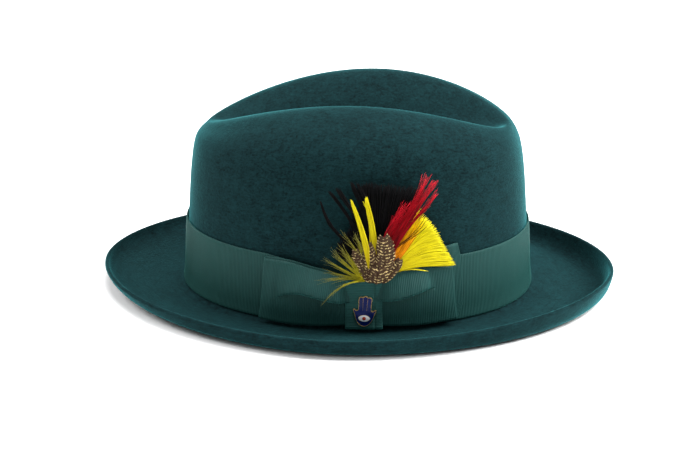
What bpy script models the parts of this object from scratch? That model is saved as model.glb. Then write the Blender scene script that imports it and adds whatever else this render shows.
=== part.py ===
"""Felt trilby with a teardrop crown, a rolled brim, a ribbon band with a flat bow, feathers and a hand pin.

Metres, +Z up. The hat stands on its brim: the underside of the brim is flat at z = 0. The wearer looks
along -X, so the bow on the wearer's left is on the -Y side. Trim is laid out flat and then wrapped round
the crown: u runs along the band from the middle of the bow towards the back, v is the height above z = 0,
and w is the stand-off from the felt.
"""

import math

import bmesh
import bpy
import numpy as np
from mathutils import Matrix, Vector

# Felt body
HEAD_LENGTH = 0.2000
HEAD_WIDTH = 0.1630
FELT = 0.0025
CROWN_HEIGHT = 0.1185
BRIM_REACH_ENDS = 0.0474
BRIM_REACH_SIDES = 0.0375
RIM_LIFT_FRONT = 0.0100
RIM_LIFT_BACK = 0.0140
RIM_LIFT_SIDES = 0.0085
FELT_COLUMNS = 60
FELT_STEPS = 2

# Fineness of the surface that trim is wrapped on
WRAP_COLUMNS = 300
WRAP_STEPS = 12
WRAP_HEIGHTS = 80
WRAP_REACH = 0.0010

# Ribbon band and bow
GAP = 0.0003
RIBBON = 0.0007
BAND_WIDTH = 0.0380
BAND_FOOT = 0.0030
BAND_WALL = 0.0010
BAND_ROWS = 4
BOW_PLACE = 0.0165
LOOP_LEFT = 0.0580
LOOP_RIGHT = 0.0520
LOOP_HOLLOW = 0.0010
LOOP_START = 0.0015
LOOP_LEAN = 0.0025
LOOP_SWELL = 0.0008
LOOP_STEPS = 11
LOOP_TURN_STEPS = 6
FOLD_DEPTH = 0.0020
FOLD_START = 0.0015
KNOT_WIDTH = 0.0198
KNOT_WALL = 0.0009
KNOT_COLUMNS = 5
KNOT_STEPS = 6
TAIL_WIDTH = 0.0075
TAIL_COLUMNS = 3

# Feathers
PLUME_HEIGHT = 0.0575
FEATHER_WALL = 0.0006
FEATHER_CLEAR = 0.0011
FEATHER_ROWS = 5

# Hand pin
PIN_HEIGHT = 0.0162
PIN_PLATE = 0.0010
PIN_RIM = 0.0007
PIN_ENAMEL = 0.0005
PIN_INLAY = 0.0003
PIN_POST_RADIUS = 0.0005
PIN_LEAN = 4.0
EYE_STEPS = 20
PEG_SIDES = 12

# Heights on the band as shares of BAND_WIDTH from its lower edge
KNOT_TOP = 0.72
KNOT_FOOT = -0.03
PIN_PLACE = 0.318
LOOP_WAIST = 0.78
LOOP_TOP_LEFT = 1.00
LOOP_TOP_RIGHT = 0.90

# Layers of trim, each as a stand-off from the felt
TAIL_LAYER = GAP + BAND_WALL + GAP
BACK_LAYER = TAIL_LAYER + RIBBON + GAP
FRONT_LAYER = BACK_LAYER + RIBBON + LOOP_HOLLOW
KNOT_LAYER = FRONT_LAYER + RIBBON + GAP
FEATHER_LAYER = KNOT_LAYER + FEATHER_CLEAR
PIN_LAYER = KNOT_LAYER + KNOT_WALL + GAP

# Section rows of the brim, from its edge in: reach is a share of the brim's reach, and the three lifts are
# shares of the rim's lift at the sides, front and back.
BRIM_ROWS = (
    {"name": "edge", "reach": 1.000, "side": 1.00, "front": 1.00, "back": 1.00},
    {"name": "roll", "reach": 0.975, "side": 0.62, "front": 0.78, "back": 0.62},
    {"name": "turn", "reach": 0.930, "side": 0.26, "front": 0.58, "back": 0.26},
    {"name": "curl_foot", "reach": 0.860, "side": 0.07, "front": 0.42, "back": 0.07},
    {"name": "flat_outer", "reach": 0.760, "side": 0.00, "front": 0.27, "back": 0.00},
    {"name": "flat_inner", "reach": 0.300, "side": 0.00, "front": 0.00, "back": 0.00},
    {"name": "break", "reach": 0.080, "side": 0.06, "front": 0.06, "back": 0.06},
)
BRIM_OVAL = {"front": 1.90, "back": 1.84}

# Section rows of the crown, from the brim up and over into the dent. Length, width and shift are shares of
# the crown's outer half sizes, heights of CROWN_HEIGHT. Front and back are the ovals' exponents, 2 for an
# ellipse.
CROWN_ROWS = (
    {"name": "foot", "length": 1.000, "width": 1.000, "shift": 0.0, "front": 2.12, "back": 2.06,
     "side_z": 0.022, "front_z": 0.022, "back_z": 0.022},
    {"name": "band_top", "length": 0.974, "width": 0.978, "shift": 0.0, "front": 2.12, "back": 2.06,
     "side_z": 0.350, "front_z": 0.350, "back_z": 0.350},
    {"name": "wall", "length": 0.955, "width": 0.930, "shift": 0.0, "front": 2.12, "back": 2.06,
     "side_z": 0.620, "front_z": 0.600, "back_z": 0.600},
    {"name": "upper_wall", "length": 0.932, "width": 0.860, "shift": 0.0, "front": 2.05, "back": 2.15,
     "side_z": 0.800, "front_z": 0.735, "back_z": 0.735},
    {"name": "shoulder", "length": 0.893, "width": 0.710, "shift": 0.03, "front": 1.90, "back": 2.20,
     "side_z": 0.930, "front_z": 0.775, "back_z": 0.813},
    {"name": "crest", "length": 0.852, "width": 0.470, "shift": 0.095, "front": 1.92, "back": 2.00,
     "side_z": 1.000, "front_z": 0.803, "back_z": 0.844},
    {"name": "dent_side", "length": 0.780, "width": 0.280, "shift": 0.10, "front": 1.70, "back": 2.10,
     "side_z": 0.920, "front_z": 0.800, "back_z": 0.825},
    {"name": "dent_floor", "length": 0.600, "width": 0.130, "shift": 0.08, "front": 1.80, "back": 2.00,
     "side_z": 0.815, "front_z": 0.795, "back_z": 0.808},
)
DENT_MIDDLE = {"shift": 0.06, "height": 0.800}

# The band's upper edge, drawn down where the knot gathers it: place is a share of the loop on that side,
# left of the knot negative, and top a height on the band.
BAND_TOPS = (
    {"place": -1.00, "top": 1.00},
    {"place": -0.75, "top": 0.95},
    {"place": -0.53, "top": 0.89},
    {"place": -0.36, "top": 0.84},
    {"place": -0.17, "top": 0.73},
    {"place": 0.00, "top": 0.68},
    {"place": 0.23, "top": 0.73},
    {"place": 0.38, "top": 0.83},
    {"place": 0.58, "top": 0.88},
    {"place": 0.92, "top": 0.88},
    {"place": 1.00, "top": 1.00},
)

# The bow's loops from the knot to their ends: along is a share of the loop's length, foot and fold are
# heights on the band, depth a share of FOLD_DEPTH, and rise how far the top edge has come from LOOP_WAIST
# to the loop's own top.
LOOP_PLACES = (
    {"along": 0.00, "foot": 0.05, "fold": 0.400, "depth": 1.00, "rise": 0.00},
    {"along": 0.17, "foot": 0.05, "fold": 0.420, "depth": 1.00, "rise": 0.05},
    {"along": 0.50, "foot": 0.01, "fold": 0.540, "depth": 0.70, "rise": 0.70},
    {"along": 0.68, "foot": 0.00, "fold": 0.560, "depth": 0.25, "rise": 0.88},
    {"along": 0.80, "foot": 0.00, "fold": 0.540, "depth": 0.00, "rise": 0.95},
    {"along": 1.00, "foot": 0.00, "fold": 0.500, "depth": 0.00, "rise": 1.00},
)
# Rows of a loop: 0 to 1 from its lower edge to the fold, 1 to 2 from the fold to its upper edge.
LOOP_ROWS = (0.0, 0.4, 0.8, 0.97, 1.05, 1.2, 1.45, 1.7, 2.0)

# The ribbon end behind the right loop: heights on the band, edges as shares of TAIL_WIDTH from the end of
# the loop.
TAIL_ROWS = (
    {"name": "cut_end", "height": 1.19, "left": -0.10, "right": 0.55},
    {"name": "shoulder", "height": 0.98, "left": -0.20, "right": 0.64},
    {"name": "middle", "height": 0.68, "left": -0.20, "right": 0.87},
    {"name": "lower", "height": 0.28, "left": -0.20, "right": 0.92},
    {"name": "tuck", "height": 0.04, "left": -0.20, "right": 0.20},
)

# Feathers from the felt outwards. Places are shares of PLUME_HEIGHT from the middle of the knot's upper
# edge. Split is how far down from the tips the locks are free, bulge how far the row of tips bows out, and
# curl how far it stands off.
FEATHERS = (
    {"name": "feather_black", "finish": "black", "layer": 0, "locks": 9, "split": 0.22,
     "root": (0.00, 0.00), "root_width": 0.20, "left_tip": (-0.38, 0.80), "right_tip": (0.50, 0.90),
     "bulge": 0.1, "curl": -0.02},
    {"name": "feather_yellow_fan", "finish": "yellow", "layer": 1, "locks": 8, "split": 0.12,
     "root": (0.24, 0.05), "root_width": 0.08, "left_tip": (0.57, 0.67), "right_tip": (0.89, 0.12),
     "bulge": 0.045, "curl": -0.01},
    {"name": "feather_orange", "finish": "orange", "layer": 2, "locks": 3, "split": 0.20,
     "root": (0.21, 0.10), "root_width": 0.09, "left_tip": (0.44, 0.72), "right_tip": (0.58, 0.64),
     "bulge": 0.02, "curl": 0.0},
    {"name": "feather_yellow_spikes", "finish": "yellow", "layer": 1, "locks": 2, "split": 0.75,
     "root": (0.06, 0.10), "root_width": 0.09, "left_tip": (-0.17, 0.78), "right_tip": (0.09, 0.84),
     "bulge": 0.0, "curl": 0.0},
    {"name": "feather_red", "finish": "red", "layer": 3, "locks": 6, "split": 0.35,
     "root": (0.16, 0.16), "root_width": 0.10, "left_tip": (0.50, 0.98), "right_tip": (0.71, 0.80),
     "bulge": 0.03, "curl": 0.02},
    {"name": "feather_olive", "finish": "olive", "layer": 1, "locks": 9, "split": 0.50,
     "root": (-0.02, 0.04), "root_width": 0.08, "left_tip": (-0.34, -0.20), "right_tip": (-0.16, 0.47),
     "bulge": 0.11, "curl": 0.02},
    {"name": "feather_speckled", "finish": "speckled", "layer": 4, "locks": 5, "split": 0.15,
     "root": (0.12, 0.06), "root_width": 0.18, "left_tip": (-0.02, 0.42), "right_tip": (0.31, 0.43),
     "bulge": 0.05, "curl": 0.02},
)

# Right half of the open hand from its middle finger down to its wrist, as shares of PIN_HEIGHT.
HAND_HALF = (
    {"x": 0.000, "y": 0.500},
    {"x": 0.060, "y": 0.485},
    {"x": 0.078, "y": 0.440},
    {"x": 0.190, "y": 0.425},
    {"x": 0.215, "y": 0.385},
    {"x": 0.222, "y": -0.010},
    {"x": 0.300, "y": -0.020},
    {"x": 0.385, "y": 0.045},
    {"x": 0.447, "y": 0.010},
    {"x": 0.415, "y": -0.120},
    {"x": 0.335, "y": -0.270},
    {"x": 0.225, "y": -0.420},
    {"x": 0.110, "y": -0.485},
    {"x": 0.000, "y": -0.500},
)
HAND_EYE = {"half_width": 0.200, "half_height": 0.115, "y": -0.260}
HAND_PUPIL = 0.060

# Name, colour, roughness and metallic value of each finish
FINISHES = {
    "felt": ((0.012, 0.082, 0.088), 0.95, 0.0),
    "ribbon": ((0.030, 0.100, 0.085), 0.60, 0.0),
    "black": ((0.010, 0.010, 0.012), 0.45, 0.0),
    "yellow": ((0.900, 0.780, 0.020), 0.55, 0.0),
    "orange": ((0.850, 0.130, 0.010), 0.55, 0.0),
    "red": ((0.600, 0.010, 0.015), 0.50, 0.0),
    "olive": ((0.450, 0.420, 0.030), 0.60, 0.0),
    "speckled": ((0.350, 0.250, 0.110), 0.60, 0.0),
    "gold": ((0.800, 0.580, 0.250), 0.25, 1.0),
    "blue": ((0.010, 0.020, 0.250), 0.10, 0.0),
    "white": ((0.850, 0.850, 0.850), 0.15, 0.0),
    "crimson": ((0.500, 0.040, 0.020), 0.15, 0.0),
}

CROWN_HALF_LENGTH = HEAD_LENGTH / 2 + FELT
CROWN_HALF_WIDTH = HEAD_WIDTH / 2 + FELT


def clear_scene():
    for obj in list(bpy.data.objects):
        bpy.data.objects.remove(obj)


def oval(angles, half_length, half_width, shift, front, back):
    """Plan points of an oval whose front and back may differ. Shift moves its widest place to the back."""
    across, along = np.sin(angles), np.cos(angles)
    power = np.where(along < 0, front, back)
    reach = np.where(along < 0, 1 + shift, 1 - shift) * half_length
    x = half_length * shift + reach * np.sign(along) * np.abs(along) ** (2 / power)
    y = half_width * np.sign(across) * np.abs(across) ** (2 / power)
    return x, y


def felt_sections(angles):
    """The rows of the felt's outer surface, from the edge of the brim to the dent."""
    in_front = np.cos(angles) < 0
    ends = np.cos(angles) ** 2
    foot = CROWN_ROWS[0]
    sections = []
    for row in BRIM_ROWS:
        x, y = oval(
            angles,
            CROWN_HALF_LENGTH + row["reach"] * BRIM_REACH_ENDS,
            CROWN_HALF_WIDTH + row["reach"] * BRIM_REACH_SIDES,
            0.0,
            foot["front"] + (BRIM_OVAL["front"] - foot["front"]) * row["reach"],
            foot["back"] + (BRIM_OVAL["back"] - foot["back"]) * row["reach"],
        )
        end_lift = np.where(in_front, row["front"] * RIM_LIFT_FRONT, row["back"] * RIM_LIFT_BACK)
        side_lift = row["side"] * RIM_LIFT_SIDES
        sections.append(np.stack([x, y, FELT + side_lift + (end_lift - side_lift) * ends], -1))
    for row in CROWN_ROWS:
        x, y = oval(
            angles,
            row["length"] * CROWN_HALF_LENGTH,
            row["width"] * CROWN_HALF_WIDTH,
            row["shift"],
            row["front"],
            row["back"],
        )
        end_height = np.where(in_front, row["front_z"], row["back_z"])
        height = row["side_z"] + (end_height - row["side_z"]) * ends
        sections.append(np.stack([x, y, FELT + height * CROWN_HEIGHT], -1))
    return np.array(sections)


def stations(sections):
    """How far each row lies along the surface from the first, averaged over the columns."""
    steps = np.linalg.norm(np.diff(sections, axis=0), axis=2).mean(axis=1)
    return np.concatenate([[0.0], np.cumsum(steps)])


def through_rows(sections, at, wanted):
    """Points on a smooth curve through each column of rows. It never overshoots, so a flat stays flat."""
    spans = np.diff(at)[:, None, None]
    slopes = np.diff(sections, axis=0) / spans
    before, after = slopes[:-1], slopes[1:]
    near, far = 2 * spans[1:] + spans[:-1], spans[1:] + 2 * spans[:-1]
    same_way = before * after > 0
    safe_before = np.where(same_way, before, 1.0)
    safe_after = np.where(same_way, after, 1.0)
    middle = np.where(same_way, (near + far) / (near / safe_before + far / safe_after), 0.0)
    tangents = np.concatenate([slopes[:1], middle, slopes[-1:]])
    k = np.clip(np.searchsorted(at, wanted, side="right") - 1, 0, len(at) - 2)
    span = np.diff(at)[k][:, None, None]
    t = ((wanted - at[k]) / np.diff(at)[k])[:, None, None]
    return (
        (2 * t**3 - 3 * t**2 + 1) * sections[k]
        + (t**3 - 2 * t**2 + t) * span * tangents[k]
        + (3 * t**2 - 2 * t**3) * sections[k + 1]
        + (t**3 - t**2) * span * tangents[k + 1]
    )


def between(at, steps):
    """The stations of the rows with steps - 1 more in each space between two rows."""
    parts = [np.linspace(a, b, steps, endpoint=False) for a, b in zip(at[:-1], at[1:])]
    return np.concatenate([*parts, at[-1:]])


class Wall:
    """The outside of the crown's wall as a surface of (u, v, w), for trim that is wrapped round it."""

    def __init__(self):
        self.angles = np.linspace(0, 2 * math.pi, WRAP_COLUMNS + 1)
        sections = felt_sections(self.angles)
        at = stations(sections)
        fine = through_rows(sections, at, between(at, WRAP_STEPS))
        foot, shoulder = (len(BRIM_ROWS) + self.row_number(name) for name in ("foot", "shoulder"))
        fine = fine[foot * WRAP_STEPS : shoulder * WRAP_STEPS + 1]
        self.heights = np.linspace(fine[0, :, 2].max(), fine[-1, :, 2].min(), WRAP_HEIGHTS)
        self.plan = np.empty((len(self.heights), len(self.angles), 2))
        for c in range(len(self.angles)):
            for axis in range(2):
                self.plan[:, c, axis] = np.interp(self.heights, fine[:, c, 2], fine[:, c, axis])
        middle = FELT + BAND_FOOT + BAND_WIDTH / 2
        ring = self.plan[np.argmin(abs(self.heights - middle))]
        self.along = np.concatenate([[0.0], np.cumsum(np.linalg.norm(np.diff(ring, axis=0), axis=1))])
        near_side = len(self.angles) // 2
        self.start = np.interp(BOW_PLACE, ring[near_side:, 0], self.along[near_side:])

    @staticmethod
    def row_number(name):
        return [row["name"] for row in CROWN_ROWS].index(name)

    def on_felt(self, u, v):
        """Points of the felt's outer surface, between the four nearest points of the stored grid."""
        angle = np.interp(u + self.start, self.along, self.angles)
        column = angle / self.angles[1]
        row = np.interp(v, self.heights, np.arange(WRAP_HEIGHTS))
        c = np.clip(column.astype(int), 0, WRAP_COLUMNS - 1)
        r = np.clip(row.astype(int), 0, WRAP_HEIGHTS - 2)
        s, t = (column - c)[..., None], (row - r)[..., None]
        plan = (
            self.plan[r, c] * (1 - s) * (1 - t)
            + self.plan[r, c + 1] * s * (1 - t)
            + self.plan[r + 1, c] * (1 - s) * t
            + self.plan[r + 1, c + 1] * s * t
        )
        return np.concatenate([plan, v[..., None]], -1)

    def wrap(self, u, v, w):
        """Points that stand w off the felt at u, v."""
        u, v, w = np.broadcast_arrays(*(np.asarray(a, float) for a in (u, v, w)))
        inside = np.clip(v, self.heights[0] + WRAP_REACH, self.heights[-1] - WRAP_REACH)
        along = self.on_felt(u + WRAP_REACH, inside) - self.on_felt(u - WRAP_REACH, inside)
        up = self.on_felt(u, inside + WRAP_REACH) - self.on_felt(u, inside - WRAP_REACH)
        out = np.cross(along, up)
        out /= np.linalg.norm(out, axis=-1, keepdims=True)
        return self.on_felt(u, v) + out * w[..., None]


def material(name, colour, roughness, metallic=0.0):
    made = bpy.data.materials.new(name)
    made.use_nodes = True
    shader = made.node_tree.nodes["Principled BSDF"]
    shader.inputs["Base Color"].default_value = (*colour, 1.0)
    shader.inputs["Roughness"].default_value = roughness
    shader.inputs["Metallic"].default_value = metallic
    return made


def mesh_object(name, points, faces, finish, collection):
    mesh = bpy.data.meshes.new(name)
    mesh.from_pydata([tuple(p) for p in points], [], faces)
    mesh.materials.append(finish)
    mesh.shade_smooth()
    obj = bpy.data.objects.new(name, mesh)
    collection.objects.link(obj)
    return obj


def thicken(obj, thickness, side):
    """Makes an open surface a wall: side -1 grows it behind the surface, 1 in front, 0 both ways."""
    wall = obj.modifiers.new("thickness", "SOLIDIFY")
    wall.thickness = thickness
    wall.offset = side
    wall.use_even_offset = True


def grid_faces(rows, columns, wrap_round=False):
    """Quads of a grid of points stored row by row. wrap_round joins the last column to the first."""
    last = columns if wrap_round else columns - 1
    return [
        (
            r * columns + c,
            r * columns + (c + 1) % columns,
            (r + 1) * columns + (c + 1) % columns,
            (r + 1) * columns + c,
        )
        for r in range(rows - 1)
        for c in range(last)
    ]


def felt_body(finish, collection):
    """Crown and brim blocked from one piece of felt: an open surface thickened inwards."""
    angles = np.linspace(0, 2 * math.pi, FELT_COLUMNS, endpoint=False)
    sections = felt_sections(angles)
    at = stations(sections)
    surface = through_rows(sections, at, between(at, FELT_STEPS))
    rows = len(surface)
    middle = (
        DENT_MIDDLE["shift"] * CROWN_HALF_LENGTH,
        0.0,
        FELT + DENT_MIDDLE["height"] * CROWN_HEIGHT,
    )
    points = [*surface.reshape(-1, 3), middle]
    faces = grid_faces(rows, FELT_COLUMNS, wrap_round=True)
    first = (rows - 1) * FELT_COLUMNS
    pole = len(points) - 1
    faces += [(first + c, first + (c + 1) % FELT_COLUMNS, pole) for c in range(FELT_COLUMNS)]
    body = mesh_object("felt_body", points, faces, finish, collection)
    thicken(body, FELT, -1)


def band_height(share):
    """Height above the floor of a share of the band's width, measured up from its lower edge."""
    return FELT + BAND_FOOT + share * BAND_WIDTH


def hat_band(wall, finish, collection):
    """The ribbon round the foot of the crown, a ring that stands GAP off the felt."""
    angles = np.linspace(0, 2 * math.pi, FELT_COLUMNS, endpoint=False)
    u = np.interp(angles, wall.angles, wall.along) - wall.start
    places = [row["place"] * (LOOP_LEFT if row["place"] < 0 else LOOP_RIGHT) for row in BAND_TOPS]
    tops = np.interp(u, places, [row["top"] for row in BAND_TOPS])
    v = band_height(np.linspace(0, tops, BAND_ROWS))
    points = wall.wrap(u[None, :], v, GAP)
    faces = grid_faces(BAND_ROWS, FELT_COLUMNS, wrap_round=True)
    band = mesh_object("hat_band", points.reshape(-1, 3), faces, finish, collection)
    thicken(band, BAND_WALL, 1)


def loop_value(along, column):
    """A value of LOOP_PLACES at a share of the loop's length."""
    return np.interp(along, [p["along"] for p in LOOP_PLACES], [p[column] for p in LOOP_PLACES])


def bow_loop(name, side, length, top_share, wall, finish, collection):
    """One flat loop of ribbon: out along the band, round its end and back under, with a fold at the knot."""
    back = BACK_LAYER + RIBBON / 2
    front = FRONT_LAYER + RIBBON / 2
    turn = (front - back) / 2
    bends = np.linspace(math.pi / 2, -math.pi / 2, LOOP_TURN_STEPS)[1:-1]
    clear_of_knot = KNOT_WIDTH / 2 + GAP
    points = []
    for row in LOOP_ROWS:
        end = length - LOOP_LEAN * row / 2 - turn - RIBBON / 2
        out = np.concatenate(
            [[LOOP_START, clear_of_knot], np.linspace(clear_of_knot + FOLD_START, end, LOOP_STEPS - 2)]
        )
        share = out / length
        foot, fold = loop_value(share, "foot"), loop_value(share, "fold")
        top = LOOP_WAIST + (top_share - LOOP_WAIST) * loop_value(share, "rise")
        below = row <= 1
        height = foot + (fold - foot) * row if below else fold + (top - fold) * (row - 1)
        pleat = FOLD_DEPTH * loop_value(share, "depth") * (0 if below else math.cos((row - 1) * math.pi / 2))
        swell = LOOP_SWELL * np.sin(share * math.pi)
        lift = np.where(out > clear_of_knot, pleat + swell, 0.0)
        far_u = end + turn * np.cos(bends)
        far_w = back + turn + turn * np.sin(bends)
        u = np.concatenate([out, far_u, out[::-1]])
        w = np.concatenate([front + lift, far_w, np.full(len(out), back)])
        heights = np.concatenate([height, np.full(len(bends), height[-1]), height[::-1]])
        points.append(wall.wrap(side * u, band_height(heights), w))
    points = np.array(points)
    faces = grid_faces(len(LOOP_ROWS), points.shape[1])
    if side < 0:
        faces = [face[::-1] for face in faces]
    loop = mesh_object(name, points.reshape(-1, 3), faces, finish, collection)
    thicken(loop, RIBBON, 0)


def bow_tail(wall, finish, collection):
    """The end of the band's ribbon, standing up behind the right loop."""
    rows = []
    for row in TAIL_ROWS:
        u = LOOP_RIGHT + TAIL_WIDTH * np.linspace(row["left"], row["right"], TAIL_COLUMNS)
        rows.append(wall.wrap(u, band_height(row["height"]), TAIL_LAYER))
    rows = np.array(rows)
    faces = [face[::-1] for face in grid_faces(len(rows), TAIL_COLUMNS)]
    tail = mesh_object("bow_tail", rows.reshape(-1, 3), faces, finish, collection)
    thicken(tail, RIBBON, 1)


def bow_knot(wall, finish, collection):
    """The strip round the middle of the bow, whose lower end turns under the loops."""
    front = KNOT_LAYER + KNOT_WALL / 2
    inner = BACK_LAYER + RIBBON / 2
    turn = (front - inner) / 2
    foot = band_height(KNOT_FOOT)
    across = np.linspace(-KNOT_WIDTH / 2, KNOT_WIDTH / 2, KNOT_COLUMNS)
    straight = np.linspace(band_height(KNOT_TOP), foot + turn, KNOT_STEPS)
    bends = np.linspace(0, math.pi, KNOT_STEPS + 1)[1:]
    v = np.concatenate([straight, foot + turn - turn * np.sin(bends)])
    w = np.concatenate([np.full(len(straight), front), inner + turn + turn * np.cos(bends)])
    points = wall.wrap(across[None, :], v[:, None], w[:, None])
    faces = [face[::-1] for face in grid_faces(len(v), KNOT_COLUMNS)]
    knot = mesh_object("bow_knot", points.reshape(-1, 3), faces, finish, collection)
    thicken(knot, KNOT_WALL, 0)
    return knot


def feather(row, wall, finish, collection):
    """A flat fan of locks, joined at the root and free at the tips, laid on the trim below it."""
    locks = row["locks"]
    root = np.array(row["root"]) * PLUME_HEIGHT
    left, right = (np.array(row[key]) * PLUME_HEIGHT for key in ("left_tip", "right_tip"))
    side = np.linspace(0, 1, locks + 1)[:, None]
    chord = right - left
    outward = np.array([-chord[1], chord[0]]) / np.linalg.norm(chord)
    across = chord / np.linalg.norm(chord)
    middle = (side[:-1] + side[1:]) / 2
    tips = left + chord * middle + outward * row["bulge"] * PLUME_HEIGHT * 4 * middle * (1 - middle)
    ends = left + chord * side + outward * row["bulge"] * PLUME_HEIGHT * 4 * side * (1 - side)
    roots = root + across * (side - 0.5) * row["root_width"] * PLUME_HEIGHT
    shares = np.linspace(0, 1 - row["split"], FEATHER_ROWS)
    plan = [roots + (ends - roots) * share for share in shares]
    root_w = FEATHER_LAYER + row["layer"] * (FEATHER_WALL + GAP)
    knot_top = band_height(KNOT_TOP) + GAP

    def place(points, share):
        stand = root_w + (row["curl"] * PLUME_HEIGHT) * share
        return wall.wrap(points[:, 0], knot_top + points[:, 1], stand)

    points = [place(p, share) for p, share in zip(plan, shares)]
    points.append(place(tips, 1.0))
    columns = locks + 1
    faces = grid_faces(FEATHER_ROWS, columns)
    last = (FEATHER_ROWS - 1) * columns
    faces += [(last + i, last + i + 1, last + columns + i) for i in range(locks)]
    made = mesh_object(row["name"], np.concatenate(points), faces, finish, collection)
    thicken(made, FEATHER_WALL, 1)


def oval_outline(half_width, half_height, middle):
    turns = np.linspace(0, 2 * math.pi, EYE_STEPS, endpoint=False)
    return np.stack([middle[0] + half_width * np.cos(turns), middle[1] + half_height * np.sin(turns)], -1)


def hand_outline(inset):
    """Outline of the open hand, from its middle finger round by the left, shrunk by inset."""
    right = [(point["x"], point["y"]) for point in HAND_HALF]
    left = [(-x, y) for x, y in right]
    outline = np.array([*left, *right[::-1][1:-1]]) * PIN_HEIGHT
    ahead, behind = np.roll(outline, -1, 0), np.roll(outline, 1, 0)
    edge = ahead - behind
    inward = np.stack([-edge[:, 1], edge[:, 0]], -1) / np.linalg.norm(edge, axis=1, keepdims=True)
    return outline + inward * inset


def flat_piece(name, outline, frame, stand, thickness, finish, collection):
    """A flat plate of this outline, standing off the middle of the knot."""
    lean = math.radians(PIN_LEAN)
    turned = np.stack(
        [
            outline[:, 0] * math.cos(lean) + outline[:, 1] * math.sin(lean),
            outline[:, 1] * math.cos(lean) - outline[:, 0] * math.sin(lean),
        ],
        -1,
    )
    origin, along, up, out = frame
    front = [origin + along * x + up * y + out * (stand + thickness) for x, y in turned]
    back = [origin + along * x + up * y + out * stand for x, y in turned]
    n = len(turned)
    faces = [tuple(range(n)), tuple(range(2 * n - 1, n - 1, -1))]
    faces += [(i, n + i, n + (i + 1) % n, (i + 1) % n) for i in range(n)]
    return mesh_object(name, front + back, faces, finish, collection)


def pin_frame(wall):
    """Where the pin's plates lie: its middle on the felt, and the directions along the band, up and out."""
    u, v = 0.0, band_height(PIN_PLACE)
    origin = wall.wrap(u, v, 0.0)
    step = KNOT_WIDTH / 4
    along = wall.wrap(u + step, v, 0.0) - wall.wrap(u - step, v, 0.0)
    along /= np.linalg.norm(along)
    up = wall.wrap(u, v + step, 0.0) - wall.wrap(u, v - step, 0.0)
    up -= along * along.dot(up)
    up /= np.linalg.norm(up)
    return origin, along, up, np.cross(along, up)


def pin_post(piece, frame):
    """Fuses a plain post to the back of the pin's plate: it fills the hole in the knot."""
    origin, along, up, out = frame
    length = PIN_LAYER - KNOT_LAYER
    centre = origin + out * (PIN_LAYER + PIN_PLATE / 2 - length / 2)
    post = peg("pin post", PIN_POST_RADIUS, length + PIN_PLATE / 2, centre, out)
    join = piece.modifiers.new("post", "BOOLEAN")
    join.operation = "UNION"
    join.object = post


def peg(name, radius, length, centre, axis):
    """A plain cylinder kept out of the model, to join to a piece or cut it with."""
    mesh = bpy.data.meshes.new(name)
    bm = bmesh.new()
    turn = Vector(axis).to_track_quat("Z", "Y").to_matrix().to_4x4()
    place = Matrix.Translation(Vector(centre)) @ turn
    bmesh.ops.create_cone(
        bm, cap_ends=True, segments=PEG_SIDES, radius1=radius, radius2=radius, depth=length, matrix=place
    )
    bm.to_mesh(mesh)
    bm.free()
    tool = bpy.data.objects.new(name, mesh)
    bpy.data.collections["cutters"].objects.link(tool)
    tool.hide_render = True
    tool.display_type = "WIRE"
    return tool


def hand_pin(wall, knot, finishes, collection):
    """Gold plate in the shape of an open hand with blue enamel and an eye, on a post through the knot."""
    frame = pin_frame(wall)
    origin, along, up, out = frame
    centre = origin + out * (KNOT_LAYER + KNOT_WALL / 2)
    hole = peg("post hole", PIN_POST_RADIUS + GAP, 3 * KNOT_WALL, centre, out)
    cut = knot.modifiers.new("post hole", "BOOLEAN")
    cut.operation = "DIFFERENCE"
    cut.object = hole
    plate = flat_piece(
        "pin_plate", hand_outline(0.0), frame, PIN_LAYER, PIN_PLATE, finishes["gold"], collection
    )
    pin_post(plate, frame)
    stand = PIN_LAYER + PIN_PLATE + GAP
    flat_piece("pin_enamel", hand_outline(PIN_RIM), frame, stand, PIN_ENAMEL, finishes["blue"], collection)
    middle = (0.0, HAND_EYE["y"] * PIN_HEIGHT)
    stand += PIN_ENAMEL + GAP
    eye = oval_outline(HAND_EYE["half_width"] * PIN_HEIGHT, HAND_EYE["half_height"] * PIN_HEIGHT, middle)
    flat_piece("pin_eye", eye, frame, stand, PIN_INLAY, finishes["white"], collection)
    stand += PIN_INLAY + GAP
    pupil = oval_outline(HAND_PUPIL * PIN_HEIGHT, HAND_PUPIL * PIN_HEIGHT, middle)
    flat_piece("pin_pupil", pupil, frame, stand, PIN_INLAY, finishes["crimson"], collection)


def main():
    clear_scene()
    collection = bpy.data.collections.new("trilby")
    cutters = bpy.data.collections.new("cutters")
    cutters.hide_render = True
    for made in (collection, cutters):
        bpy.context.scene.collection.children.link(made)
    finishes = {name: material(name, *values) for name, values in FINISHES.items()}
    wall = Wall()
    felt_body(finishes["felt"], collection)
    hat_band(wall, finishes["ribbon"], collection)
    bow_tail(wall, finishes["ribbon"], collection)
    bow_loop("bow_loop_left", -1, LOOP_LEFT, LOOP_TOP_LEFT, wall, finishes["ribbon"], collection)
    bow_loop("bow_loop_right", 1, LOOP_RIGHT, LOOP_TOP_RIGHT, wall, finishes["ribbon"], collection)
    knot = bow_knot(wall, finishes["ribbon"], collection)
    for row in FEATHERS:
        feather(row, wall, finishes[row["finish"]], collection)
    hand_pin(wall, knot, finishes, collection)


main()
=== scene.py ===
import math

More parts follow.
